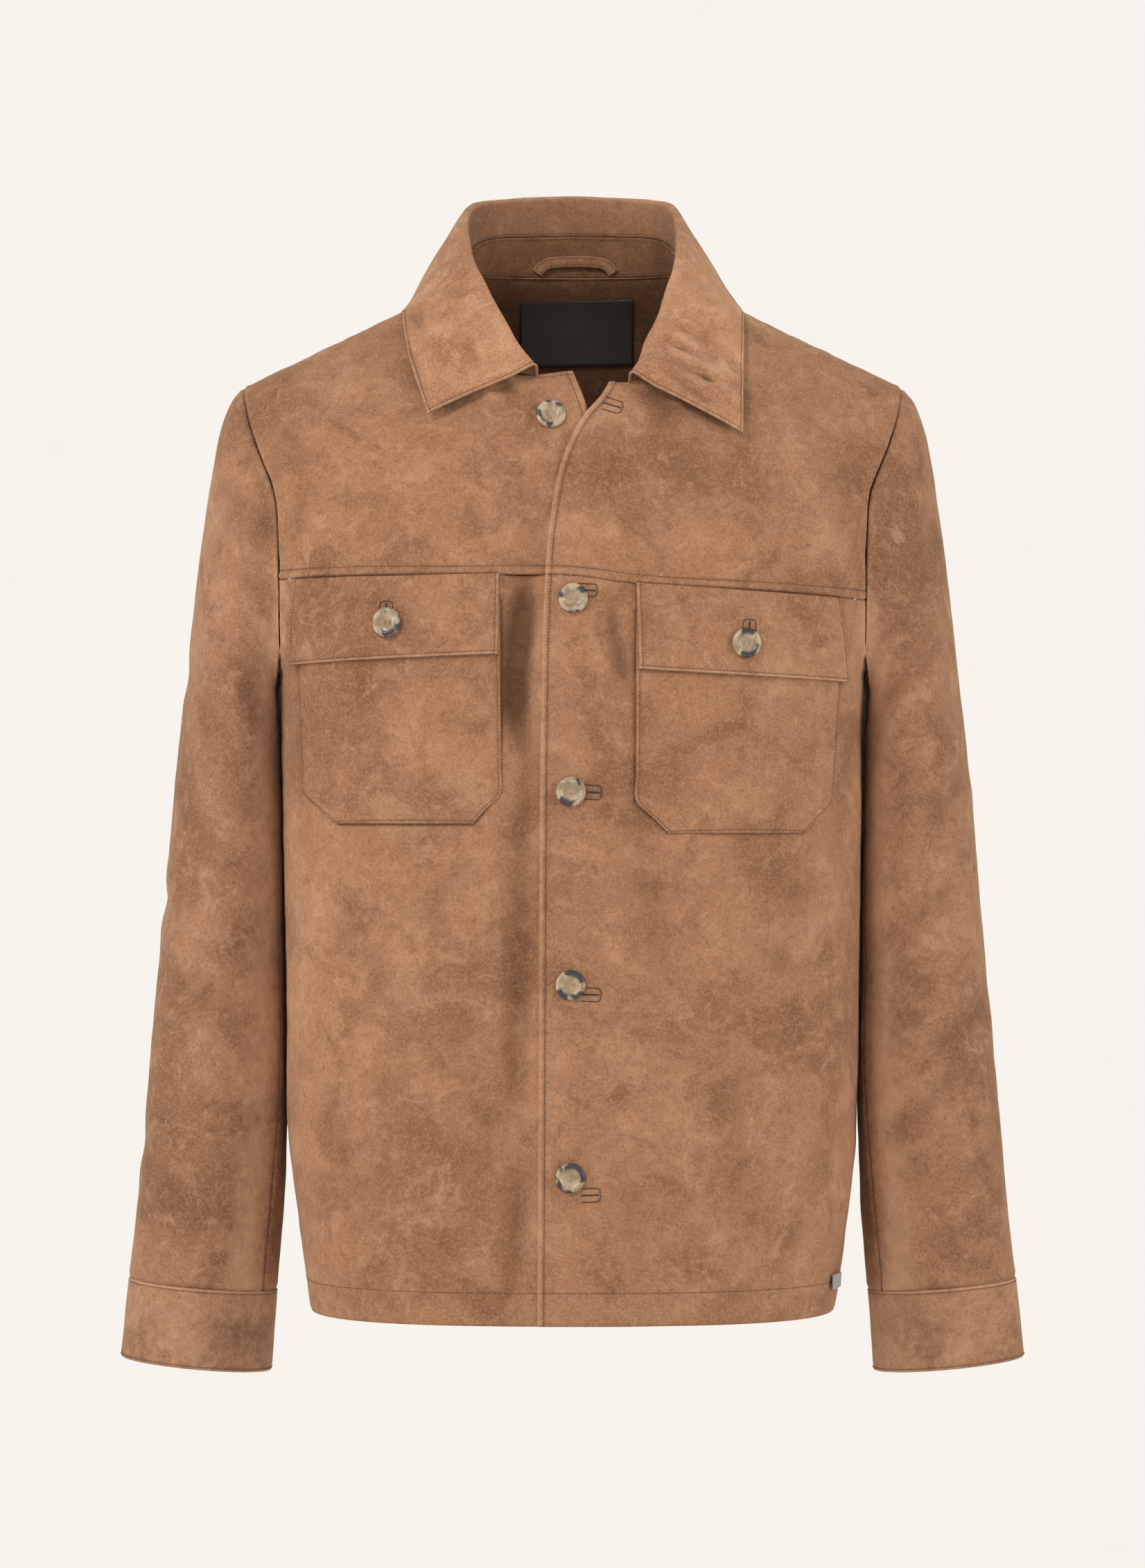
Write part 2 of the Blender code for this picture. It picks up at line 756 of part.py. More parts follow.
def neck_path():
    """The neck seam at each collar station, from the left front round to the right one."""
    left_end, right_end = COLLAR_ENDS
    left = [k for k in UNDERLAP_NECK if k[0] >= left_end]
    right = [k for k in OVERLAP_NECK if k[0] >= right_end]
    first, second = NECK_TURNS
    front = [panel_point(-1, -x, z) for x, z in neck_line(left, front_place, first + 1)]
    behind = [back_place(x, z) for x, z in neck_line(BACK_NECK, back_place, 31)]
    behind = [p * (-1, 1, 1) for p in behind[:0:-1]] + behind
    behind = list(spread(behind, second - first + 1))
    last = neck_line(right, front_place, len(COLLAR) - second)
    last = [panel_point(1, x, z) for x, z in last]
    return np.array(front[:-1] + behind + last[::-1][1:])


def collar_stations(count=41):
    rows = resample(np.concatenate([neck_path(), np.array(COLLAR)], axis=1), count)
    neck, roll, edge = rows[:, 0:3], rows[:, 3:6], rows[:, 6:9]
    lift = (roll - neck) / np.linalg.norm(roll - neck, axis=1, keepdims=True)
    place = np.linspace(0, 1, count)
    inset = np.minimum(place, 1 - place) / STAND_TAPER
    share = STAND_SHARE * np.array([[ease(k)] for k in inset])
    seam = neck + (roll - neck) * share
    return neck, seam, roll, edge, lift


def stand_grid(rows=3):
    neck, seam, _, _, lift = collar_stations()
    keep = slice(STAND_INSET, -STAND_INSET)
    start = neck + lift * STAND_GAP
    steps = [start + (seam - start) * r / rows for r in range(rows + 1)]
    return np.array(steps)[:, keep]


def collar_grid(leaf_rows=5):
    neck, seam, roll, edge, lift = collar_stations()
    fall = edge - roll
    fall = fall / np.linalg.norm(fall, axis=1, keepdims=True)
    across = fall - lift * (fall * lift).sum(axis=1, keepdims=True)
    across = across / np.linalg.norm(across, axis=1, keepdims=True)
    rise = np.linalg.norm(roll - neck, axis=1, keepdims=True)
    radius = np.minimum(ROLL_RADIUS, rise * 0.4)
    low = roll - lift * radius
    stand_height = np.linalg.norm(seam - neck, axis=1, keepdims=True)
    first = seam + lift * np.maximum(COLLAR_GAP, STAND_GAP - stand_height)
    rows = [first, (first + low) / 2, low]
    for step in (45, 90, 135):
        angle = math.radians(step)
        rows.append(low + across * radius * (1 - math.cos(angle)) + lift * radius * math.sin(angle))
    start = low + across * radius * 2
    for r in range(1, leaf_rows + 1):
        t = r / leaf_rows
        bulge = across * LEAF_BULGE * math.sin(math.pi * t)
        rows.append(start + (edge - start) * t + bulge)
    return np.array(rows)


# ---------------------------------------------------------------- pockets, flaps, trim

def panel_point(side, x, z):
    """The outer surface of the front panel at a place seen from the front."""
    point = on_body(side, side * share_at(x, z), z)
    if side > 0:
        point[1] -= lap(point[0])
    return point


def surface_frame(place, x, z):
    """A surface point and its outward normal at (x, z)."""
    here = place(x, z)
    step = 4.0
    along = place(x + step, z) - place(x - step, z)
    down = place(x, z - step) - place(x, z + step)
    normal = np.cross(along, down)
    normal = normal / np.linalg.norm(normal)
    if normal[1] * here[1] < 0:
        normal = -normal
    return here, normal


def above(place, height):
    """The same surface moved out along its own normals."""
    def moved(x, z):
        point, normal = surface_frame(place, x, z)
        return point + normal * height
    return moved


def pocket_grid(side, table, cols=10):
    place = above(lambda x, z: panel_point(side, x, z), POCKET_OFFSET)
    grid = []
    top, corner, bottom = table[0][0], table[2][0], table[3][0]
    levels = list(np.linspace(top, corner, 8)) + list(np.linspace(corner, bottom, 3)[1:])
    for z in levels:
        start = straight(table, 1)(z)
        end = straight(table, 2)(z)
        grid.append([place(start + (end - start) * c / cols, z) for c in range(cols + 1)])
    return np.array(grid)


def patch_grid(corners, place, rows, cols):
    """A four-cornered patch laid on a surface: `place` turns (x, z) into a point."""
    a, b, c, d = (np.array(k, dtype=float) for k in corners)
    grid = []
    for r in range(rows + 1):
        v = r / rows
        start = a + (d - a) * v
        end = b + (c - b) * v
        grid.append([place(*(start + (end - start) * k / cols)) for k in range(cols + 1)])
    return np.array(grid)


def button_object(name, point, normal):
    """A turned button, its profile swept round its own axis, set on the cloth."""
    outer = BUTTON_RADIUS * MM
    thick = BUTTON_THICKNESS * MM
    profile = (
        # radius, height
        (0.0, thick * 0.62),
        (outer * 0.55, thick * 0.62),
        (outer * 0.66, thick * 0.95),
        (outer * 0.84, thick),
        (outer * 0.96, thick * 0.82),
        (outer, thick * 0.5),
        (outer * 0.93, thick * 0.15),
        (outer * 0.75, 0.0),
        (0.0, 0.0),
    )
    mesh = bpy.data.meshes.new(name)
    verts = [(radius, 0.0, height) for radius, height in profile]
    mesh.from_pydata(verts, [(i, i + 1) for i in range(len(verts) - 1)], [])
    mesh.materials.append(material(*HORN))
    obj = bpy.data.objects.new(name, mesh)
    turned = obj.modifiers.new("turned", "SCREW")
    turned.axis = "Z"
    turned.steps = BUTTON_SEGMENTS
    turned.render_steps = BUTTON_SEGMENTS
    turned.use_merge_vertices = True
    turned.merge_threshold = 0.00005
    turned.use_smooth_shade = True
    axis = Vector(normal)
    obj.rotation_euler = axis.to_track_quat("Z", "Y").to_euler()
    obj.location = Vector(point * MM) + axis * BUTTON_STANDOFF * MM
    return obj


def loop_grid():
    """The hanger loop: a flat strap standing off the inside of the stand."""
    rows = resample(LOOP_PATH, 15)
    xs, zs, off = rows[:, 0], rows[:, 1], rows[:, 2]
    path = neck_path()[NECK_TURNS[0]:NECK_TURNS[1] + 1]
    depth_at = [np.interp(x, path[:, 0], path[:, 1]) for x in xs]
    wall = np.array(depth_at) - LEATHER - SEAM_GAP - 0.6
    path = np.stack([xs, wall - off, zs], axis=1)
    along = np.gradient(path, axis=0)
    along = along / np.linalg.norm(along, axis=1, keepdims=True)
    across = np.cross(along, np.array([0.0, 1.0, 0.0]))
    across = across / np.linalg.norm(across, axis=1, keepdims=True)
    half = LOOP_WIDTH / 2
    return np.array([path + across * half, path - across * half])


# ---------------------------------------------------------------- the garment

def build_fronts():
    left_yoke = yoke_grid(-1, UNDERLAP_NECK, UNDERLAP_EDGE, 1, False)
    right_yoke = yoke_grid(1, OVERLAP_NECK, OVERLAP_EDGE, 2, True)
    return [
        cloth("front_yoke_left", left_yoke, SUEDE),
        cloth("front_yoke_right", right_yoke, SUEDE),
        cloth("front_lower_left", lower_grid(-1, UNDERLAP_EDGE, 1, False), SUEDE),
        cloth("front_lower_right", lower_grid(1, OVERLAP_EDGE, 2, True), SUEDE),
    ]


def build_back():
    return [cloth("back", back_grid(), SUEDE)]


def build_sleeves():
    upper = np.linspace(SEAM_BACK_TURN - 360 + SLEEVE_SEAM_TURN, SEAM_FRONT_TURN - SLEEVE_SEAM_TURN, 21)
    under = np.linspace(SEAM_FRONT_TURN + SLEEVE_SEAM_TURN, SEAM_BACK_TURN - SLEEVE_SEAM_TURN, 8)
    round_cuff = np.arange(0, 360, 15)
    parts = []
    for side, word in ((-1, "left"), (1, "right")):
        centre = sleeve_centre(side)
        for piece, turns in (("upper", upper), ("under", under)):
            grid = sleeve_rows(SLEEVE_RINGS, turns, True)
            grid = grid if side > 0 else mirrored(grid)
            parts.append(cloth(f"sleeve_{piece}_{word}", grid, SUEDE, centre=centre))
        grid = sleeve_rows(CUFF_RINGS, round_cuff, False)
        grid = grid if side > 0 else mirrored(grid)
        parts.append(cloth(f"cuff_{word}", grid, SUEDE, closed=True, centre=centre))
    return parts


def panel_tree(parts):
    """One search tree over the outer faces of the panels that the collar lies on."""
    verts = []
    faces = []
    for obj in parts:
        base = len(verts)
        verts += [v.co.copy() for v in obj.data.vertices]
        faces += [[base + i for i in p.vertices] for p in obj.data.polygons]
    return BVHTree.FromPolygons(verts, faces)


def build_collar(panels):
    tree = panel_tree(panels)
    grid = collar_grid()
    leaf = stand_off(grid[LEAF_FIRST_ROW:], tree, COLLAR_LEATHER + LEAF_CLEARANCE)
    grid = np.concatenate([grid[:LEAF_FIRST_ROW], leaf])
    return [
        cloth("collar_stand", stand_grid(), SUEDE),
        cloth("collar", grid, SUEDE, thickness=COLLAR_LEATHER, even=False),
    ]


def build_pockets():
    parts = []
    for side, word, pocket, flap in ((-1, "left", POCKET_LEFT, FLAP_LEFT),
                                     (1, "right", POCKET_RIGHT, FLAP_RIGHT)):
        parts.append(cloth(f"pocket_{word}", pocket_grid(side, pocket), SUEDE, even=False))
        place = above(lambda x, z: panel_point(side, x, z), FLAP_OFFSET)
        grid = patch_grid(flap, place, 4, 10)
        parts.append(cloth(f"flap_{word}", grid, SUEDE, thickness=FLAP_LEATHER))
    return parts


def build_buttons():
    parts = []
    for k, (x, z) in enumerate(FRONT_BUTTONS):
        side = -1 if k == 0 else 1
        point, normal = surface_frame(lambda a, b: panel_point(side, a, b), x, z)
        parts.append(button_object(f"button_{k + 1}", point, normal))
    for word, (x, z) in zip(("left", "right"), FLAP_BUTTONS):
        side = -1 if word == "left" else 1
        point, normal = surface_frame(lambda a, b: panel_point(side, a, b), x, z)
        point = point + normal * FLAP_OFFSET
        parts.append(button_object(f"flap_button_{word}", point, normal))
    return parts


def build_trim():
    label = patch_grid(NECK_LABEL, above(back_place, -LABEL_OFFSET), 4, 8)
    tab_place = above(front_place, SIDE_LABEL_OFFSET)
    tab = [[tab_place(x, z) for x in SIDE_LABEL_X] for z in SIDE_LABEL_Z]
    return [
        cloth("hanger_loop", loop_grid(), SUEDE, LOOP_LEATHER),
        cloth("neck_label", label, BLACK_SATIN, LABEL_CLOTH),
        cloth("side_label", tab, GREY_TAPE, LABEL_CLOTH),
    ]


def main():
    for obj in list(bpy.data.objects):
        bpy.data.objects.remove(obj, do_unlink=True)
    garment = bpy.data.collections.new("leather_overshirt")
    bpy.context.scene.collection.children.link(garment)
    fronts = build_fronts()
    back = build_back()
    parts = fronts + back + build_sleeves()
    parts += build_collar(fronts[:2] + back)
    parts += build_pockets() + build_buttons() + build_trim()
    for obj in parts:
        garment.objects.link(obj)
    bpy.context.view_layer.update()


main()
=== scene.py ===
"""A suede overshirt, filled out as worn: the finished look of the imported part."""

import bpy
import math
from functools import lru_cache

import numpy as np
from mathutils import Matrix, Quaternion, Vector, noise
from mathutils.bvhtree import BVHTree


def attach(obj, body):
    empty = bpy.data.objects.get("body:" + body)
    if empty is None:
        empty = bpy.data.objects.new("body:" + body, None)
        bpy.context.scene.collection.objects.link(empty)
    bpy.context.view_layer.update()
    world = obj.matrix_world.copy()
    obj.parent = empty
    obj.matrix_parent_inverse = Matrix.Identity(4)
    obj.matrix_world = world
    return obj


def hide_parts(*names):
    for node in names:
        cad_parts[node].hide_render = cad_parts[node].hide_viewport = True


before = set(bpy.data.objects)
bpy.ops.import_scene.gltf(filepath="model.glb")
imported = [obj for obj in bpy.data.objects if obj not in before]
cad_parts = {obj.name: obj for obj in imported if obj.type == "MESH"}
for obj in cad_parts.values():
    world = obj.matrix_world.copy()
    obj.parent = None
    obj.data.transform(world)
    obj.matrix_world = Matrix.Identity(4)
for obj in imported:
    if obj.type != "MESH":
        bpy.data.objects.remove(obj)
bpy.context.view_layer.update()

MM = 0.001

# Cloth and seams, mm
LEATHER = 1.5            # one layer of suede
COLLAR_LEATHER = 2.0     # two skived layers
FLAP_LEATHER = 1.8       # two skived layers
LOOP_LEATHER = 1.4
LABEL_CLOTH = 0.8
SEAM_GAP = 0.35          # clearance between two pieces at a flat seam
SIDE_SEAM_SHARE = 0.0007  # clearance at a side seam, as a share of the panel's width
ARMHOLE_GAP = 0.4        # the sleeve head is sewn in
LAP_LIFT = 2.4           # the overlapping front lies this far outside the other
YOKE_LIFT = 0.7          # the yoke's lower edge stands proud of the panel below

# Levels, mm above the origin
UNDERARM_Z = -255.0
HEM_Z = -687.0
SHOULDER_TIP_Z = -53.0
NECK_POINT_X = 78.0
SHOULDER_TIP_X = 227.0
ROUND_OVER = 150.0       # the chest rounds over into the shoulder in this height
SQUARENESS = 2.8         # exponent of the body's sections

# Body sections: height, half width, depth in front and behind
SECTIONS = (
    # z, half_width, front, back
    (60.0, 250.0, 46.0, 66.0),
    (31.0, 250.0, 55.0, 72.0),
    (0.0, 249.0, 67.0, 86.0),
    (-30.0, 247.0, 78.0, 98.0),
    (-60.0, 243.0, 88.0, 108.0),
    (-100.0, 229.0, 101.0, 118.0),
    (-130.0, 218.0, 110.0, 124.0),
    (-160.0, 213.0, 118.0, 128.0),
    (-190.0, 211.0, 124.0, 130.0),
    (-220.0, 208.0, 128.0, 130.0),
    (-240.0, 205.0, 129.5, 129.0),
    (-255.0, 201.0, 130.0, 128.0),
    (-300.0, 199.5, 130.0, 126.0),
    (-400.0, 198.5, 131.0, 125.0),
    (-500.0, 197.0, 134.0, 129.0),
    (-560.0, 195.5, 137.0, 134.0),
    (-616.0, 190.0, 141.0, 139.0),
    (-660.0, 184.5, 145.0, 144.0),
    (-687.0, 180.5, 147.0, 147.0),
)

# Shoulder line seen from the front, carried on up inside the neck
SHOULDER_LINE = (
    # x, z
    (0.0, 150.0),
    (40.0, 112.0),
    (60.0, 76.0),
    (70.0, 50.0),
    (78.0, 28.0),
    (90.0, 14.5),
    (117.0, 0.0),
    (227.0, -53.0),
    (260.0, -70.0),
)

# Armhole seam: height, distance from the middle
ARMHOLE = (
    # z, x
    (0.0, 227.0),
    (-53.0, 227.0),
    (-76.0, 223.0),
    (-94.0, 217.0),
    (-111.0, 210.0),
    (-125.0, 204.5),
    (-141.0, 201.5),
    (-165.0, 200.2),
    (-200.0, 199.6),
    (-235.0, 199.6),
)

# Upper edges of the fronts and back, from the middle out to the neck point
OVERLAP_NECK = (
    # x, z
    (25.3, -54.0),
    (37.0, -55.5),
    (46.0, -53.0),
    (55.0, -44.5),
    (63.0, -30.0),
    (69.0, -12.0),
    (73.5, 5.0),
    (76.0, 18.0),
    (77.5, 27.0),
    (78.0, 28.0),
)
UNDERLAP_NECK = (
    # x, z
    (0.0, -47.0),
    (23.0, -50.0),
    (34.0, -51.0),
    (44.0, -48.0),
    (53.0, -40.5),
    (61.0, -26.0),
    (68.0, -8.0),
    (73.0, 7.0),
    (76.0, 19.0),
    (77.5, 27.0),
    (78.0, 28.0),
)
BACK_NECK = (
    # x, z
    (0.0, 31.0),
    (40.0, 31.0),
    (66.0, 30.5),
    (78.0, 28.0),
)

# Front edges: how far each reaches past the middle line (negative: across it)
OVERLAP_EDGE = (
    # z, x
    (-54.0, 25.3),
    (-65.0, 18.7),
    (-75.0, 9.8),
    (-84.0, 3.7),
    (-98.0, -3.2),
    (-111.0, -7.9),
    (-128.0, -12.0),
    (-146.0, -14.8),
    (-164.0, -17.1),
    (-188.0, -18.6),
    (-230.0, -20.3),
    (-280.0, -21.3),
    (-440.0, -22.5),
    (-687.0, -23.5),
)
UNDERLAP_EDGE = (
    # z, x
    (-47.0, 0.0),
    (-71.0, -9.2),
    (-100.0, -16.0),
    (-130.0, -20.0),
    (-160.0, -21.0),
    (-687.0, -21.0),
)

# Yoke seam: distance from the middle, height on each side
YOKE_SEAM = (
    # x, left_z, right_z
    (-24.0, -187.0, -186.5),
    (0.0, -187.0, -187.5),
    (43.0, -187.0, -193.0),
    (135.0, -187.0, -198.0),
    (201.0, -188.0, -202.0),
)

# Large folds pressed into the panels (depth is inward, so a negative one is a ridge)
LEFT_FOLDS = (
    # x, z_top, z_bottom, half_width, depth
    (-36.0, -170.0, -380.0, 13.0, 3.0),
    (-39.0, -340.0, -690.0, 16.0, 6.0),
    (-72.0, -420.0, -660.0, 20.0, -2.5),
    (-150.0, -390.0, -600.0, 24.0, 2.5),
)
RIGHT_FOLDS = (
    # x, z_top, z_bottom, half_width, depth
    (84.0, -380.0, -660.0, 26.0, 3.0),
    (150.0, -380.0, -580.0, 20.0, -2.0),
)
BACK_FOLDS = (
    # x, z_top, z_bottom, half_width, depth
    (-95.0, -150.0, -600.0, 26.0, 4.0),
    (-22.0, -330.0, -690.0, 24.0, 4.0),
    (40.0, -200.0, -690.0, 26.0, 3.0),
    (118.0, -180.0, -520.0, 24.0, 4.0),
)

# Sleeve: heights of a ring at its outer and inner side, half depth front to back
SLEEVE_RINGS = (
    # outer_z, inner_z, half_depth, middle_y
    (-53.0, -255.0, 62.0, 6.0),
    (-62.0, -263.0, 64.0, 8.0),
    (-78.0, -271.0, 68.0, 11.0),
    (-100.0, -280.0, 72.0, 14.0),
    (-130.0, -291.0, 75.0, 17.0),
    (-168.0, -305.0, 76.0, 19.0),
    (-212.0, -324.0, 75.0, 20.0),
    (-262.0, -350.0, 72.0, 20.0),
    (-316.0, -382.0, 68.0, 18.0),
    (-372.0, -415.0, 64.0, 15.0),
    (-428.0, -460.0, 60.0, 11.0),
    (-484.0, -507.0, 56.5, 6.0),
    (-540.0, -556.0, 53.5, 1.0),
    (-604.0, -616.0, 50.0, -4.0),
    (-668.0, -676.5, 46.5, -8.0),
)
CUFF_RINGS = (
    # outer_z, inner_z, half_depth, middle_y
    (-666.8, -675.3, 47.0, -8.0),
    (-686.0, -695.0, 46.5, -8.8),
    (-703.0, -713.0, 46.0, -9.6),
    (-721.0, -731.0, 45.5, -10.4),
)
SLEEVE_OUTER = (
    # z, x
    (-53.0, 227.0),
    (-58.0, 233.0),
    (-64.0, 236.8),
    (-76.0, 242.0),
    (-88.0, 246.0),
    (-112.0, 250.6),
    (-148.0, 256.3),
    (-196.0, 262.5),
    (-244.0, 268.2),
    (-292.0, 273.1),
    (-340.0, 277.8),
    (-388.0, 281.8),
    (-436.0, 285.8),
    (-484.0, 289.8),
    (-532.0, 293.6),
    (-580.0, 297.2),
    (-628.0, 302.0),
    (-676.0, 307.2),
    (-722.0, 311.8),
)
SLEEVE_INNER = (
    # z, x
    (-255.0, 202.0),
    (-266.0, 202.0),
    (-300.0, 197.0),
    (-400.0, 190.0),
    (-500.0, 190.0),
    (-560.0, 193.0),
    (-585.0, 195.5),
    (-616.0, 198.6),
    (-640.0, 200.6),
    (-676.0, 204.0),
    (-732.0, 207.6),
)
SLEEVE_CLEARANCE = 0.9   # the sleeve hangs this close beside the body
SLEEVE_SOFTNESS = 4.0    # how softly its round section gives way to the body's side
SLEEVE_BLEND_RINGS = 6   # the sleeve's head takes the armhole's shape over these rings
SEAM_FRONT_TURN = 148.0  # degrees round the sleeve from its outer side
SEAM_BACK_TURN = 232.0
SLEEVE_SEAM_TURN = 0.30  # degrees left open on each side of a sleeve seam
SLEEVE_FOLDS = (
    # turn, place along the sleeve (0 head, 1 cuff), slant, half_width, depth
    (60.0, 0.30, 0.10, 0.045, 3.0),
    (80.0, 0.52, -0.12, 0.030, 2.5),
    (110.0, 0.68, 0.10, 0.030, 2.5),
    (300.0, 0.40, 0.12, 0.040, 3.0),
    (270.0, 0.62, -0.10, 0.035, 2.5),
)

# Collar stations from its left front end round the back to the right one
COLLAR = (
    # roll_x, roll_y, roll_z, edge_x, edge_y, edge_z
    (-22.5, -95.0, -43.5, -98.0, -95.0, -77.0),
    (-33.0, -87.0, -33.0, -105.0, -84.0, -57.0),
    (-42.0, -76.0, -19.0, -112.0, -70.0, -35.0),
    (-51.0, -64.0, -4.0, -116.0, -48.0, -14.0),
    (-59.0, -49.0, 15.0, -118.0, -22.0, -2.0),
    (-67.0, -30.0, 37.0, -119.5, 0.0, -2.0),
    (-71.5, 2.0, 64.0, -117.0, 26.0, -3.0),
    (-65.0, 38.0, 79.0, -103.0, 60.0, 0.0),
    (-40.0, 60.0, 85.0, -62.0, 85.0, 8.0),
    (0.0, 68.5, 88.0, 0.0, 94.0, 12.0),
    (40.0, 60.0, 85.0, 62.0, 85.0, 8.0),
    (64.0, 38.0, 79.0, 103.0, 60.0, 0.0),
    (70.5, 2.0, 60.0, 117.0, 26.0, -3.0),
    (69.0, -28.0, 36.0, 119.5, 0.0, -2.0),
    (63.0, -48.0, 13.0, 118.5, -22.0, -5.0),
    (56.0, -64.0, -9.0, 117.5, -48.0, -22.0),
    (48.0, -78.0, -26.0, 116.5, -68.0, -45.0),
    (44.0, -88.0, -39.0, 116.0, -84.0, -68.0),
    (37.5, -97.0, -49.0, 115.5, -96.0, -90.0),
)
NECK_TURNS = (6, 12)     # the collar's stations at the two neck points
COLLAR_ENDS = (23.0, 37.0)   # where the collar's ends meet the left and right front
STAND_SHARE = 0.50       # the stand takes this share of the rise from seam to roll
STAND_TAPER = 6          # stations over which the stand tapers out
STAND_INSET = 11         # stations at each end of the collar that have no stand
STAND_GAP = -0.5         # the stand's lower edge above the neck seam
COLLAR_GAP = 0.4         # the collar's lower edge above the stand
ROLL_RADIUS = 4.0
LEAF_BULGE = 4.0
LEAF_CLEARANCE = 1.2     # between the leaf's underside and what it lies on
FACING_DOWN = -0.2       # panels whose normal points lower than this don't carry the leaf
LEAF_REACH = 25.0        # a leaf point deeper than this inside a panel is left alone
EDGE_NEAR = 3.0          # past a panel's edge by this much, the leaf is still held clear of it
EDGE_FADE = 12.0         # and over this much more it is let go
PUFF = 5.5               # how far the leaf swells forward beside its roll
STAND_SHADE = 0.45       # painted shade: the inside of the fall is painted this much darker
LEAF_LIFT = 0.8          # room for the creases of the panels below it
LEAF_FIRST_ROW = 7       # the collar's rows before this one stand up and roll over

# Chest pockets and flaps: corners as (x, z)
POCKET_LEFT = (
    # z, outer_x, inner_x
    (-205.0, -186.5, -48.5),
    (-240.0, -185.5, -48.5),
    (-332.5, -181.0, -47.8),
    (-353.5, -158.5, -66.5),
)
POCKET_RIGHT = (
    # z, inner_x, outer_x
    (-212.0, 42.5, 180.5),
    (-250.0, 42.3, 180.8),
    (-338.0, 42.0, 174.5),
    (-360.0, 64.0, 155.5),
)
FLAP_LEFT = ((-187.0, -189.2), (-49.0, -186.6), (-50.4, -240.5), (-188.0, -245.5))
FLAP_RIGHT = ((42.5, -193.0), (180.0, -201.8), (183.0, -258.0), (43.9, -250.5))
POCKETS = {"left": (POCKET_LEFT, FLAP_LEFT), "right": (POCKET_RIGHT, FLAP_RIGHT)}
POCKET_OFFSET = 3.3      # outer face of a pocket above its panel
FLAP_OFFSET = 6.1        # outer face of a flap above its panel

# Buttons: 20 mm, slightly dished
BUTTON_RADIUS = 10.0
BUTTON_THICKNESS = 3.2
BUTTON_STANDOFF = 0.4
FRONT_BUTTONS = (
    # x, z
    (-14.5, -78.0),
    (0.5, -203.0),
    (-0.9, -332.0),
    (-1.3, -461.0),
    (-1.4, -589.0),
)
FLAP_BUTTONS = (
    # x, z
    (-122.0, -219.5),
    (114.5, -233.0),
)

# Trim inside the back neck and in the side seam
LOOP_PATH = (
    # x, z, distance in front of the stand
    (-25.0, 33.0, 0.6),
    (-22.0, 37.0, 1.6),
    (-15.0, 40.5, 2.6),
    (2.0, 41.5, 3.2),
    (19.0, 40.5, 2.6),
    (26.0, 37.0, 1.6),
    (29.0, 33.0, 0.6),
)
LOOP_WIDTH = 8.0
NECK_LABEL = ((-37.5, 15.0), (43.5, 17.0), (43.0, -28.0), (-37.0, -29.5))
LABEL_OFFSET = 3.6       # outer face of the neck label inside the back's outer face
SIDE_LABEL_Z = (-659.5, -670.0)
SIDE_LABEL_X = (174.5, 177.0, 179.0, 181.0)
SIDE_LABEL_OFFSET = 2.6

# ---------------------------------------------------------------- small maths

def curve(rows, column=1):
    """A smooth function through a table's rows, which never overshoots them."""
    data = np.array(rows, dtype=float)
    order = np.argsort(data[:, 0])
    xs = data[order, 0]
    ys = data[order, column]
    steps = np.diff(xs)
    slopes = np.diff(ys) / steps
    tangents = np.zeros(len(xs))
    tangents[0] = slopes[0]
    tangents[-1] = slopes[-1]
    for i in range(1, len(xs) - 1):
        if slopes[i - 1] * slopes[i] > 0:
            before = steps[i] * 2 + steps[i - 1]
            after = steps[i] + steps[i - 1] * 2
            tangents[i] = (before + after) / (before / slopes[i - 1] + after / slopes[i])

    def value(x):
        x = min(max(x, xs[0]), xs[-1])
        i = min(max(int(np.searchsorted(xs, x)) - 1, 0), len(steps) - 1)
        h = steps[i]
        s = (x - xs[i]) / h
        return (ys[i] * (1 + 2 * s) * (1 - s) ** 2 + tangents[i] * h * s * (1 - s) ** 2
                + ys[i + 1] * s * s * (3 - 2 * s) + tangents[i + 1] * h * s * s * (s - 1))
    return value


def straight(rows, column=1):
    """Straight lines through a table's rows."""
    data = np.array(sorted(rows), dtype=float)
    return lambda x: float(np.interp(x, data[:, 0], data[:, column]))


def ease(x):
    x = min(max(x, 0.0), 1.0)
    return x * x * (3 - 2 * x)


def spread(points, count):
    """`count` points evenly spaced along a polyline."""
    pts = np.array(points, dtype=float)
    length = np.concatenate([[0], np.cumsum(np.linalg.norm(np.diff(pts, axis=0), axis=1))])
    wanted = np.linspace(0, length[-1], count)
    return np.stack([np.interp(wanted, length, pts[:, k]) for k in range(pts.shape[1])], axis=1)


def resample(rows, count):
    """`count` points on a smooth curve through a table's rows."""
    data = np.array(rows, dtype=float)
    keys = np.arange(len(data))
    columns = [curve(np.stack([keys, data[:, k]], axis=1)) for k in range(data.shape[1])]
    return np.array([[c(k) for c in columns] for k in np.linspace(0, len(data) - 1, count)])


# ---------------------------------------------------------------- body surface

half_width = curve(SECTIONS, 1)
front_depth = curve(SECTIONS, 2)
back_depth = curve(SECTIONS, 3)
shoulder_z = curve(SHOULDER_LINE)
armhole_x = curve(ARMHOLE)


def fold_depth(x, z, folds):
    total = 0.0
    for centre, top, bottom, width, depth in folds:
        along = ease((top - z) / 60.0) * ease((z - bottom) / 60.0)
        total += depth * along * math.exp(-((x - centre) / width) ** 2)
    return total


def quarter(z, back):
    """A quarter of the body's section from the middle to the side: x, depth, arc share."""
    return section_table(round(float(z), 1), bool(back))


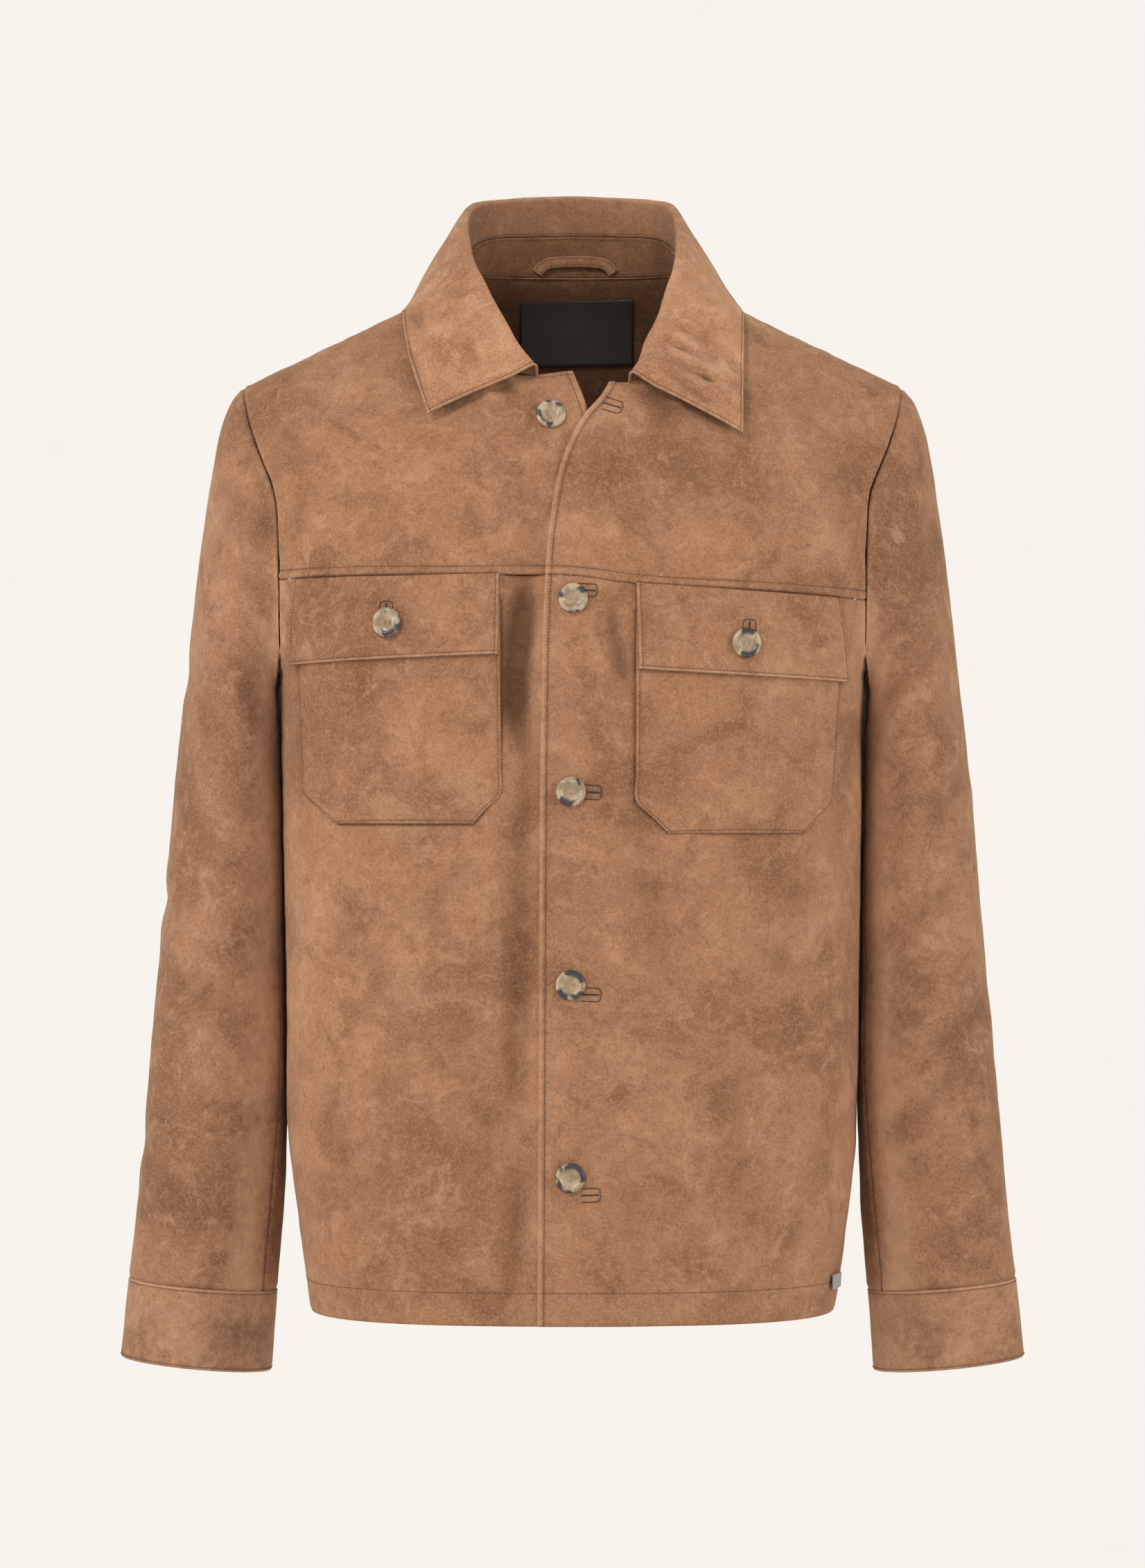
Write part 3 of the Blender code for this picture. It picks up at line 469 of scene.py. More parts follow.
@lru_cache(maxsize=None)
def section_table(z, back):
    wide = half_width(z)
    deep = back_depth(z) if back else front_depth(z)
    turn = np.linspace(0, math.pi / 2, 121)
    x = wide * np.sin(turn) ** (2 / SQUARENESS)
    y = deep * np.cos(turn) ** (2 / SQUARENESS)
    y[-1] = 0.0
    drop = np.array([shoulder_z(v) for v in x]) - z
    share = np.clip(drop / ROUND_OVER, 0, 1)
    y = y * np.sqrt(1 - (1 - share) ** 2.2)
    arc = np.concatenate([[0], np.cumsum(np.hypot(np.diff(x), np.diff(y)))])
    return x, y, arc / arc[-1]


def on_body(side, share, z, back=False):
    """The point a share of the way from the middle to the side seam, on side -1 or 1.

    A negative share lies across the middle, and keeps the folds of its own side.
    """
    x, y, arc = quarter(z, back)
    across = abs(share)
    sign = side if share >= 0 else -side
    px = sign * float(np.interp(across, arc, x))
    depth = float(np.interp(across, arc, y))
    fade = ease(depth / 50.0)
    if back:
        return np.array([px, depth - fade * fold_depth(px, z, BACK_FOLDS), z])
    folds = LEFT_FOLDS if side < 0 else RIGHT_FOLDS
    return np.array([px, -depth + fade * fold_depth(px, z, folds), z])


def share_at(x, z, back=False):
    xs, _, arc = quarter(z, back)
    return math.copysign(float(np.interp(abs(x), xs, arc)), x)


def side_share(z, back=False):
    """Where a panel ends: at the armhole above the underarm, at the side seam below it."""
    if z <= UNDERARM_Z:
        return 1.0
    low = ease((z - UNDERARM_Z) / 20.0) ** 0.5
    at_edge = share_at(armhole_x(z), z, back)
    return at_edge * low + (1.0 - low)


def lap(x):
    """How far the overlapping front stands outside the body surface near its edge."""
    return LAP_LIFT * (1 - ease((x - 25.0) / 40.0))


# ---------------------------------------------------------------- fronts and back

def neck_line(neck, place, count):
    """`count` (x, z) places on a neckline, evenly spaced along it on the body's surface."""
    fine = spread(neck, 61)
    points = np.array([place(x, z) for x, z in fine])
    length = np.linalg.norm(np.diff(points, axis=0), axis=1)
    length = np.concatenate([[0], np.cumsum(length)])
    wanted = np.linspace(0, length[-1], count)
    return np.stack([np.interp(wanted, length, fine[:, k]) for k in (0, 1)], axis=1)


def front_place(x, z):
    return on_body(1, share_at(x, z), z)


def back_place(x, z):
    return on_body(1, share_at(x, z, True), z, True)


def neck_to_tip(neck, place, neck_steps, shoulder_steps):
    """The upper edge of a panel, from the middle round the neck and out to the shoulder tip."""
    around = neck_line(neck, place, neck_steps + 1)
    xs = np.linspace(NECK_POINT_X, SHOULDER_TIP_X, shoulder_steps + 1)[1:]
    return np.concatenate([around, np.array([[x, shoulder_z(x)] for x in xs])])


def seam_level(edge_x, seam, u):
    """The yoke seam's height a share `u` of the way from the front edge to the armhole."""
    level = seam(0.0)
    near = share_at(edge_x(level), level)
    x = on_body(1, near + (side_share(level) - near) * u, level)[0]
    return seam(x)


def yoke_grid(side, neck, edge, seam_column, lifted, neck_steps=7, shoulder_steps=7, rows=9):
    top = neck_to_tip(neck, front_place, neck_steps, shoulder_steps)
    edge_x = curve(edge)
    seam = curve(YOKE_SEAM, seam_column)
    last = len(top) - 1
    grid = []
    for r in range(rows + 1):
        v = r / rows
        row = []
        for c, (top_x, top_z) in enumerate(top):
            u = c / last
            z = top_z + (seam_level(edge_x, seam, u) - top_z) * v ** 1.7
            start = share_at(edge_x(top_z), top_z)
            end = yoke_end(top_z)
            first = (share_at(top_x, top_z) - start) / (end - start)
            near = share_at(edge_x(z), z)
            share = near + (yoke_end(z) - near) * (first + (u - first) * ease(v))
            point = on_body(side, share, z)
            if r == 0 and top_x >= NECK_POINT_X:
                point = np.array([side * top_x, -SEAM_GAP, top_z])
            point[1] -= YOKE_LIFT * ease((v - 0.75) / 0.25)
            if lifted:
                point[1] -= lap(point[0]) * ease(v * 4)
            row.append(point)
        grid.append(row)
    return np.array(grid)


def yoke_end(z):
    """The armhole edge of a yoke; above the shoulder tip it keeps the tip's distance."""
    return side_share(z) if z < SHOULDER_TIP_Z else share_at(SHOULDER_TIP_X, z)


def lower_grid(side, edge, seam_column, lifted, cols=14):
    edge_x = curve(edge)
    seam = curve(YOKE_SEAM, seam_column)
    levels = [seam(0.0), -205.0, -220.0, -235.0, -246.0, UNDERARM_Z]
    levels += list(np.linspace(-278.0, HEM_Z, 14))
    grid = []
    for z_row in levels:
        settle = 1 - ease((levels[0] - z_row) / (levels[0] - UNDERARM_Z))
        row = []
        for c in range(cols + 1):
            u = c / cols
            z = z_row + (seam_level(edge_x, seam, u) - SEAM_GAP - levels[0]) * settle
            near = share_at(edge_x(z), z)
            far = side_share(z)
            if z <= UNDERARM_Z:
                far -= SIDE_SEAM_SHARE
            point = on_body(side, near + (far - near) * u, z)
            if lifted:
                point[1] -= lap(point[0])
            row.append(point)
        grid.append(row)
    return np.array(grid)


def back_grid(cols=12):
    top = neck_to_tip(BACK_NECK, back_place, 5, cols - 5)
    levels = [-100.0, -130.0, -160.0, -190.0, -220.0, -242.0, UNDERARM_Z]
    levels += list(np.linspace(-290.0, HEM_Z, 11))
    last = len(top) - 1
    upper_rows = 6
    half = []
    for r in range(upper_rows):
        v = r / upper_rows
        row = []
        for c, (top_x, top_z) in enumerate(top):
            z = top_z + (levels[0] - top_z) * v ** 1.7
            u = c / last
            across = top_x / armhole_x(top_z)
            across += (u - across) * ease(v)
            far = side_share(z, True) if z < SHOULDER_TIP_Z else share_at(SHOULDER_TIP_X, z, True)
            share = min(share_at(armhole_x(z) * across, z, True), far) if c < last else far
            row.append((share, z, top_x if r == 0 and top_x >= NECK_POINT_X else None))
        half.append(row)
    for z in levels:
        far = side_share(z, True)
        if z <= UNDERARM_Z:
            far -= SIDE_SEAM_SHARE
        half.append([(far * c / last, z, None) for c in range(last + 1)])
    grid = []
    for row in half:
        points = []
        for side, cells in ((-1, row[:0:-1]), (1, row)):
            for share, z, seam_x in cells:
                if seam_x is None:
                    points.append(on_body(side, share, z, True))
                else:
                    points.append(np.array([side * seam_x, SEAM_GAP, z]))
        grid.append(points)
    return np.array(grid)


# ---------------------------------------------------------------- sleeves

sleeve_outer = curve(SLEEVE_OUTER)
sleeve_inner = curve(SLEEVE_INNER)


def armhole_point(turn):
    """The armhole seam of the +X side; turn 0 is the shoulder tip, 90 front, 180 underarm."""
    z = SHOULDER_TIP_Z + (UNDERARM_Z - SHOULDER_TIP_Z) * (1 - math.cos(math.radians(turn))) / 2
    back = turn % 360 > 180
    return on_body(1, side_share(z, back), z, back)


def ring_point(ring, turn):
    outer_z, inner_z, half_depth, middle_y = ring
    outer = np.array([sleeve_outer(outer_z), middle_y, outer_z])
    inner = np.array([sleeve_inner(inner_z), middle_y, inner_z])
    angle = math.radians(turn)
    point = (outer + inner) / 2 + (outer - inner) / 2 * math.cos(angle)
    point[1] -= half_depth * math.sin(angle)
    return point


def sleeve_crease(turn, along):
    total = 0.0
    for centre, place, slant, width, depth in SLEEVE_FOLDS:
        off = (turn - centre + 180) % 360 - 180
        line = place + slant * off / 90.0
        total += depth * math.exp(-((along - line) / width) ** 2) * math.exp(-(off / 55.0) ** 2)
    return total


def clear_of_body(point):
    """Keep a sleeve's inner side just outside the body, whose curve it follows."""
    x, y, z = point
    if z > UNDERARM_Z:
        return point
    deep = back_depth(z) if y > 0 else front_depth(z)
    body_x = half_width(z) * (1 - min(abs(y) / deep, 1.0) ** SQUARENESS) ** (1 / SQUARENESS)
    room = (x - body_x - SLEEVE_CLEARANCE) / SLEEVE_SOFTNESS
    return np.array([body_x + SLEEVE_CLEARANCE + SLEEVE_SOFTNESS * np.logaddexp(0, room), y, z])


def sleeve_rows(rings, turns, with_head):
    grid = []
    for r, ring in enumerate(rings):
        keep = 1 - ease(r / SLEEVE_BLEND_RINGS) if with_head else 0.0
        row = []
        for turn in turns:
            point = ring_point(ring, turn)
            point += keep * (armhole_point(turn) - ring_point(rings[0], turn))
            if with_head:
                along = r / (len(rings) - 1)
                centre = ring_point(ring, 0) / 2 + ring_point(ring, 180) / 2
                away = (point - centre) / np.linalg.norm(point - centre)
                ends = ease(along * 5) * ease((1 - along) * 5)
                point -= away * sleeve_crease(turn, along) * ends
            row.append(clear_of_body(point))
        grid.append(row)
    grid = np.array(grid)
    if with_head:
        step = grid[1] - grid[0]
        grid[0] += step / np.linalg.norm(step, axis=1, keepdims=True) * ARMHOLE_GAP
    return grid


def mirrored(grid):
    return grid * np.array([-1.0, 1.0, 1.0])


def sleeve_centre(side):
    return (side * 250.0, 0.0)


# ---------------------------------------------------------------- collar

def stand_off(grid, tree, clearance):
    """Move the points that lie closer than `clearance` to the panels outside them."""
    moved = grid.copy()
    for r in range(grid.shape[0]):
        for c in range(grid.shape[1]):
            point = Vector(grid[r, c] * MM)
            place, normal, _, gap = tree.find_nearest(point)
            height = (point - place).dot(normal) / MM
            if normal.z < FACING_DOWN or not -LEAF_REACH < height < clearance:
                continue
            beyond = math.sqrt(max((gap / MM) ** 2 - height ** 2, 0.0))
            share = 1 - ease((beyond - EDGE_NEAR) / EDGE_FADE)
            moved[r, c] += np.array(normal) * (clearance - height) * share
    return moved


def neck_path():
    """The neck seam at each collar station, from the left front round to the right one."""
    left_end, right_end = COLLAR_ENDS
    left = [k for k in UNDERLAP_NECK if k[0] >= left_end]
    right = [k for k in OVERLAP_NECK if k[0] >= right_end]
    first, second = NECK_TURNS
    front = [panel_point(-1, -x, z) for x, z in neck_line(left, front_place, first + 1)]
    behind = [back_place(x, z) for x, z in neck_line(BACK_NECK, back_place, 31)]
    behind = [p * (-1, 1, 1) for p in behind[:0:-1]] + behind
    behind = list(spread(behind, second - first + 1))
    last = neck_line(right, front_place, len(COLLAR) - second)
    last = [panel_point(1, x, z) for x, z in last]
    return np.array(front[:-1] + behind + last[::-1][1:])


def collar_stations(count=41):
    rows = resample(np.concatenate([neck_path(), np.array(COLLAR)], axis=1), count)
    neck, roll, edge = rows[:, 0:3], rows[:, 3:6], rows[:, 6:9]
    lift = (roll - neck) / np.linalg.norm(roll - neck, axis=1, keepdims=True)
    place = np.arange(count)
    inset = (np.minimum(place, count - 1 - place) - STAND_INSET) / STAND_TAPER
    share = STAND_SHARE * np.array([[ease(k)] for k in inset])
    seam = neck + (roll - neck) * share
    return neck, seam, roll, edge, lift


def stand_grid(rows=3):
    neck, seam, _, _, lift = collar_stations()
    keep = slice(STAND_INSET, -STAND_INSET)
    start = neck + lift * STAND_GAP
    steps = [start + (seam - start) * r / rows for r in range(rows + 1)]
    return np.array(steps)[:, keep]


def collar_grid(leaf_rows=5):
    neck, seam, roll, edge, lift = collar_stations()
    fall = edge - roll
    fall = fall / np.linalg.norm(fall, axis=1, keepdims=True)
    across = fall - lift * (fall * lift).sum(axis=1, keepdims=True)
    across = across / np.linalg.norm(across, axis=1, keepdims=True)
    rise = np.linalg.norm(roll - neck, axis=1, keepdims=True)
    radius = np.minimum(ROLL_RADIUS, rise * 0.4)
    low = roll - lift * radius
    stand_height = np.linalg.norm(seam - neck, axis=1, keepdims=True)
    first = seam + lift * np.maximum(COLLAR_GAP, STAND_GAP - stand_height)
    rows = [first, (first + low) / 2, low]
    for step in (45, 90, 135):
        angle = math.radians(step)
        rows.append(low + across * radius * (1 - math.cos(angle)) + lift * radius * math.sin(angle))
    start = low + across * radius * 2
    for r in range(1, leaf_rows + 1):
        t = r / leaf_rows
        bulge = across * LEAF_BULGE * math.sin(math.pi * t)
        rows.append(start + (edge - start) * t + bulge)
    return np.array(rows)


# ---------------------------------------------------------------- pockets, flaps, trim

def panel_point(side, x, z):
    """The outer surface of the front panel at a place seen from the front."""
    point = on_body(side, side * share_at(x, z), z)
    if side > 0:
        point[1] -= lap(point[0])
    return point


def surface_frame(place, x, z):
    """A surface point and its outward normal at (x, z)."""
    here = place(x, z)
    step = 4.0
    along = place(x + step, z) - place(x - step, z)
    down = place(x, z - step) - place(x, z + step)
    normal = np.cross(along, down)
    normal = normal / np.linalg.norm(normal)
    if normal[1] * here[1] < 0:
        normal = -normal
    return here, normal


def above(place, height):
    """The same surface moved out along its own normals."""
    def moved(x, z):
        point, normal = surface_frame(place, x, z)
        return point + normal * height
    return moved


def pocket_grid(side, table, cols=10):
    place = above(lambda x, z: panel_point(side, x, z), POCKET_OFFSET)
    grid = []
    top, corner, bottom = table[0][0], table[2][0], table[3][0]
    levels = list(np.linspace(top, corner, 8)) + list(np.linspace(corner, bottom, 3)[1:])
    for z in levels:
        start = straight(table, 1)(z)
        end = straight(table, 2)(z)
        grid.append([place(start + (end - start) * c / cols, z) for c in range(cols + 1)])
    return np.array(grid)


def patch_grid(corners, place, rows, cols):
    """A four-cornered patch laid on a surface: `place` turns (x, z) into a point."""
    a, b, c, d = (np.array(k, dtype=float) for k in corners)
    grid = []
    for r in range(rows + 1):
        v = r / rows
        start = a + (d - a) * v
        end = b + (c - b) * v
        grid.append([place(*(start + (end - start) * k / cols)) for k in range(cols + 1)])
    return np.array(grid)


def loop_grid():
    """The hanger loop: a flat strap standing off the inside of the stand."""
    rows = resample(LOOP_PATH, 15)
    xs, zs, off = rows[:, 0], rows[:, 1], rows[:, 2]
    path = neck_path()[NECK_TURNS[0]:NECK_TURNS[1] + 1]
    depth_at = [np.interp(x, path[:, 0], path[:, 1]) for x in xs]
    wall = np.array(depth_at) - LEATHER - SEAM_GAP - 0.6
    path = np.stack([xs, wall - off, zs], axis=1)
    along = np.gradient(path, axis=0)
    along = along / np.linalg.norm(along, axis=1, keepdims=True)
    across = np.cross(along, np.array([0.0, 1.0, 0.0]))
    across = across / np.linalg.norm(across, axis=1, keepdims=True)
    half = LOOP_WIDTH / 2
    return np.array([path + across * half, path - across * half])


# ---------------------------------------------------------------- fine cloth

def refine(grid, row_parts, col_parts, closed=False):
    """The same surface with each step of its grid cut into smaller ones, on a smooth curve."""
    def along_rows(points, parts, wrap):
        if wrap:
            ext = np.concatenate([points[-1:], points, points[:2]])
            count = len(points)
        else:
            first = points[:1] * 2 - points[1:2]
            last = points[-1:] * 2 - points[-2:-1]
            ext = np.concatenate([first, points, last])
            count = len(points) - 1
        out = []
        for k in range(count):
            a, b, c, d = ext[k], ext[k + 1], ext[k + 2], ext[k + 3]
            for s in range(parts):
                t = s / parts
                out.append(b + 0.5 * t * (c - a + t * (2 * a - 5 * b + 4 * c - d
                                                       + t * (3 * (b - c) + d - a))))
        if not wrap:
            out.append(points[-1])
        return np.array(out)
    grid = along_rows(np.array(grid), row_parts, False)
    return along_rows(grid.swapaxes(0, 1), col_parts, closed).swapaxes(0, 1)


def unit(v):
    return v / np.maximum(np.linalg.norm(v, axis=-1, keepdims=True), 1e-9)


def grid_normals(grid, closed=False):
    down = np.gradient(grid, axis=0)
    if closed:
        along = np.roll(grid, -1, axis=1) - np.roll(grid, 1, axis=1)
    else:
        along = np.gradient(grid, axis=1)
    return unit(np.cross(along, down))


def edge_distances(grid):
    """Distance in mm of every point from the grid's top, bottom, first and last edges."""
    down = np.linalg.norm(np.diff(grid, axis=0), axis=2)
    down = np.concatenate([np.zeros((1, grid.shape[1])), np.cumsum(down, axis=0)])
    along = np.linalg.norm(np.diff(grid, axis=1), axis=2)
    along = np.concatenate([np.zeros((grid.shape[0], 1)), np.cumsum(along, axis=1)], axis=1)
    return {"top": down, "bottom": down[-1:] - down, "first": along, "last": along[:, -1:] - along}


def noise_at(points, size, seed):
    """Smooth noise from -1 to 1 over points in mm."""
    flat = points.reshape(-1, 3) / size + seed * 17.31
    values = [noise.noise(Vector(p)) for p in flat]
    return np.array(values).reshape(points.shape[:-1])


def path_distance(u, v, path):
    """Distance in mm of every place (u, v) from an open line of points."""
    far = np.full(u.shape, 1e6)
    for (u0, v0), (u1, v1) in zip(path, path[1:]):
        du, dv = u1 - u0, v1 - v0
        t = np.clip(((u - u0) * du + (v - v0) * dv) / (du * du + dv * dv), 0, 1)
        far = np.minimum(far, np.hypot(u - u0 - t * du, v - v0 - t * dv))
    return far


def along_and_off(u, v, ends):
    """For places (u, v): the share of the way along a short line, and the distance beside it."""
    u0, v0, u1, v1 = ends
    du, dv = u1 - u0, v1 - v0
    length = math.hypot(du, dv)
    t = ((u - u0) * du + (v - v0) * dv) / length ** 2
    return t, ((u - u0) * dv - (v - v0) * du) / length


def fade_ends(t, start, end):
    """1 along a line and 0 past its ends; each end is its reach and its length, as shares."""
    kept = np.clip((t + start[0]) / start[1], 0, 1) * np.clip((1 + end[0] - t) / end[1], 0, 1)
    return kept * kept * (3 - 2 * kept)


def hump(far, height, place, width):
    """A soft swelling of a given height and width, centred at a distance."""
    return height * np.exp(-((far - place) / width) ** 2)


def crease_height(u, v, rows):
    """Soft troughs (depth above 0) and ridges along short lines in flat coordinates."""
    total = np.zeros(u.shape)
    for *ends, width, depth in rows:
        t, off = along_and_off(u, v, ends)
        off = off + width * CREASE_SWAY * np.sin(t * 4.0 + ends[0])
        kept = depth * fade_ends(t, CREASE_END, CREASE_END)
        rims = hump(np.abs(off), CREASE_RIM, width * 1.9, width * 0.9)
        total -= kept * (hump(off, 1.0, 0.0, width) - rims)
    return total


def fold_height(u, v, rows):
    """Raised folds: each has a soft crest, a shorter side and a shallow trough below it."""
    total = np.zeros(u.shape)
    for *ends, width, height in rows:
        t, off = along_and_off(u, v, ends)
        off = off * (1 if ends[2] > ends[0] else -1) + width * FOLD_SWAY * np.sin(t * 3.0 + ends[0])
        steep = np.where(off > 0, width * 0.65, width * 1.7)
        trough = hump(off, FOLD_TROUGH, width * 1.5, width * 0.8)
        total += height * fade_ends(t, *FOLD_ENDS) * (hump(off, 1.0, 0.0, steep) - trough)
    return total


CREASE_SWAY = 0.35       # how far a crease sways from its line, as a share of its width
CREASE_END = (0.18, 0.45)
CREASE_RIM = 0.28        # height of the soft rims beside a trough, as a share of its depth
FOLD_SWAY = 0.4
FOLD_ENDS = ((0.10, 0.30), (0.20, 0.60))
FOLD_TROUGH = 0.55       # depth of the trough below a collar fold, as a share of its height

# Rows of stitches: distance in mm from the edge that each holds
LIP_ROW = 4.4
NARROW_ROW = 2.3
LAP_ROW = 6.0
HEM_ROW = 22.0
CUFF_ROW = 2.4
CUFF_END_ROW = 1.8
LOOP_ROW = 1.6
LABEL_ROW = 1.5
NECK_ROW = 3.0
WIDEST_MARKED_ROW = 8.0  # rows further in than this have no dark groove

EDGE_KINDS = {
    # stitch row, bulge beside it, groove of the stitches, drop at the very edge, paleness
    "lip": (LIP_ROW, 0.20, 0.60, 0.9, 0.52),
    "narrow": (NARROW_ROW, 0.40, 0.45, 0.9, 0.42),
    "loop": (LOOP_ROW, 0.40, 0.45, 0.9, 0.42),
    "thick": (NARROW_ROW, 0.55, 0.55, 1.3, 0.50),
    "lap": (LAP_ROW, 0.45, 0.55, 0.5, 0.30),
    "hem": (HEM_ROW, 0.15, 0.50, 0.5, 0.10),
    "seam": (None, 0.40, 0.0, 0.9, 0.0),
    "tuck": (None, 0.45, 0.0, 1.0, 0.10),
    "rim": (None, 0.70, 0.0, 0.7, 0.35),
    "cuffend": (CUFF_END_ROW, 0.40, 0.35, 0.9, 0.35),
}
GROOVE_WIDTH = 0.9
GROOVE_SHADE = 0.45


def edge_height(points, far, kind):
    """Height of the cloth beside an edge: the folded lip, the stitch groove and its puckers."""
    row, bulge, groove, drop, _ = EDGE_KINDS[kind]
    height = hump(far, -drop, 0.0, GROOVE_WIDTH)
    if kind == "lip":
        height += hump(far, 0.9, 1.6, 1.1) - hump(far, 0.7, 3.0, 0.6)
    if row:
        height += hump(far, bulge, row * 0.5, max(row * 0.33, 1.0))
        height -= hump(far, groove, row, GROOVE_WIDTH)
        pucker = 0.42 * noise_at(points, 5.5, 3)
        height += hump(far, pucker, row, 5.0) * (far > 0.6)
    else:
        height += hump(far, bulge, 3.0, 1.8)
        height += hump(far, 0.5 * noise_at(points, 8.0, 5), 4.0, 4.5)
    return height


def pocket_outline(table):
    """The three sewn sides of a pocket, seen from the front."""
    return [(row[1], row[0]) for row in table] + [(row[2], row[0]) for row in table[::-1]]


def flap_outline(corners):
    """The three free sides of a flap, seen from the front."""
    a, b, c, d = corners
    return [b, c, d, a]


def contact_shade(piece, outlines):
    """Darken the cloth just beside the outlines of what lies on it."""
    for path, strength, reach in outlines:
        far = path_distance(piece.grid[..., 0], piece.grid[..., 2], path)
        piece.wear_and_painted_light -= hump(far, strength, 0.0, reach)


class Cloth:
    """A finished surface: its grid of points in mm, normals and distances from its edges."""

    def __init__(self, grid, closed=False, centre=(0.0, 0.0), to_front=False):
        self.grid = np.array(grid)
        self.closed = closed
        self.normals = grid_normals(self.grid, closed)
        if to_front:
            outward = -self.normals[..., 1].mean()
        else:
            outward = (self.normals[..., :2] * (self.grid[..., :2] - np.array(centre))).sum()
        self.turn = 1 if outward > 0 else -1
        self.normals = self.normals * self.turn
        self.far = edge_distances(self.grid)
        # above 0: real wear and painted highlight; below 0: painted shade
        self.wear_and_painted_light = np.zeros(self.grid.shape[:2])
        self.smooth = self.grid

    def raise_by(self, height):
        self.grid = self.grid + self.normals * height[..., None]

    def finish_edges(self, kinds):
        """Shape the edges in `kinds`, mark their lips as worn and paint shade into their stitch
        grooves.
        """
        total = np.zeros(self.grid.shape[:2])
        for edge, kind in kinds.items():
            far = self.far[edge]
            row, pale = EDGE_KINDS[kind][0], EDGE_KINDS[kind][4]
            total += edge_height(self.grid, far, kind)
            self.wear_and_painted_light += hump(far, pale, 1.3, 2.0 if kind == "lip" else 1.2)
            if row and row < WIDEST_MARKED_ROW:
                self.wear_and_painted_light -= hump(far, GROOVE_SHADE, row, GROOVE_WIDTH)
        self.raise_by(total)

    def soften(self, wide, small, seed):
        """The slow unevenness of soft leather."""
        calm = np.clip(np.minimum(self.far["top"], self.far["bottom"]) / 12.0, 0.25, 1.0)
        height = wide * noise_at(self.grid * (1, 1, 0.6), 55.0, seed)
        height += small * noise_at(self.grid, 17.0, seed + 1)
        self.raise_by(height * calm)

    def crease(self, rows, turns=None):
        """Creases seen from the front, or by their turns round a sleeve."""
        height = crease_height(self.grid[..., 0] if turns is None else turns, self.grid[..., 2], rows)
        self.raise_by(height)
        # painted light: crests are painted paler as a highlight and troughs darker as shade
        self.wear_and_painted_light += np.clip(height, 0, 1) * 0.25
        self.wear_and_painted_light += np.clip(height, -6.0, 0) * 0.10

    def line(self, edge, distance, start=0.0, end=1.0):
        """A line on the surface at a distance from an edge: points and normals."""
        fields = (self.far[edge], self.grid, self.normals)
        if edge in ("first", "last"):
            fields = [field.swapaxes(0, 1) for field in fields]
        if edge in ("bottom", "last"):
            fields = [field[::-1] for field in fields]
        far, grid, normals = fields
        steps, count = far.shape
        points, ups = [], []
        for c in range(int(start * (count - 1)), int(end * (count - 1)) + 1):
            place = float(np.interp(distance, far[:, c], np.arange(steps)))
            low = min(int(place), steps - 2)
            t = place - low
            points.append(grid[low, c] * (1 - t) + grid[low + 1, c] * t)
            ups.append(normals[low, c] * (1 - t) + normals[low + 1, c] * t)
        return np.array(points), unit(np.array(ups))


# ---------------------------------------------------------------- pieces and their cut

def new_mesh(name, verts, faces, *skins):
    mesh = bpy.data.meshes.new(name)
    mesh.from_pydata(verts, [], faces)
    for skin in skins:
        mesh.materials.append(skin)
    return mesh


def grid_faces(rows, cols, closed=False, flip=False, base=0):
    """The quads of a grid whose points are numbered row by row from `base`."""
    faces = []
    for r in range(rows - 1):
        for c in range(cols if closed else cols - 1):
            d = (c + 1) % cols
            here, below = base + r * cols, base + (r + 1) * cols
            quad = [here + c, here + d, below + d, below + c]
            faces.append(quad[::-1] if flip else quad)
    return faces


def show(obj, slot, *nodes):
    bpy.context.scene.collection.objects.link(obj)
    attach(obj, "root")
    if nodes:
        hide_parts(*nodes)


def shell(name, surface, thickness, skins, even=True, slot="suede"):
    """Build a cloth surface as a thin wall: outside, inside and cut edge have their own skin."""
    rows, cols = surface.grid.shape[:2]
    verts = [tuple(p * MM) for p in surface.grid.reshape(-1, 3)]
    mesh = new_mesh(name, verts, grid_faces(rows, cols, surface.closed, surface.turn < 0), *skins)
    wear_and_painted_light = mesh.attributes.new("wear_and_painted_light", "FLOAT", "POINT")
    wear_and_painted_light.data.foreach_set("value", np.clip(surface.wear_and_painted_light, -1, 1).reshape(-1).astype(np.float32))
    mesh.shade_smooth()
    mesh.update()
    r, c = (rows - 1) // 2, (cols - 1) // 2
    probe = mesh.polygons[r * (cols if surface.closed else cols - 1) + c]
    if probe.normal.dot(Vector(surface.normals[r, c])) < 0:
        mesh.flip_normals()
    obj = bpy.data.objects.new(name, mesh)
    wall = obj.modifiers.new("wall", "SOLIDIFY")
    wall.thickness = thickness * MM
    wall.offset = -1.0
    wall.use_even_offset = even
    wall.use_quality_normals = True
    wall.material_offset = 1
    wall.material_offset_rim = 2
    show(obj, slot, name)


# ---------------------------------------------------------------- sewing

STITCH_PITCH = 2.1
STITCH_LENGTH = 1.55
STITCH_RADIUS = 0.30
STITCH_BEND = (
    # place along a stitch, height over the cloth in mm
    (-0.5, -0.30), (-0.28, 0.16), (0.28, 0.16), (0.5, -0.30),
)
STITCH_SIDES = ((1, 0), (0, 1), (-1, 0), (0, -1))


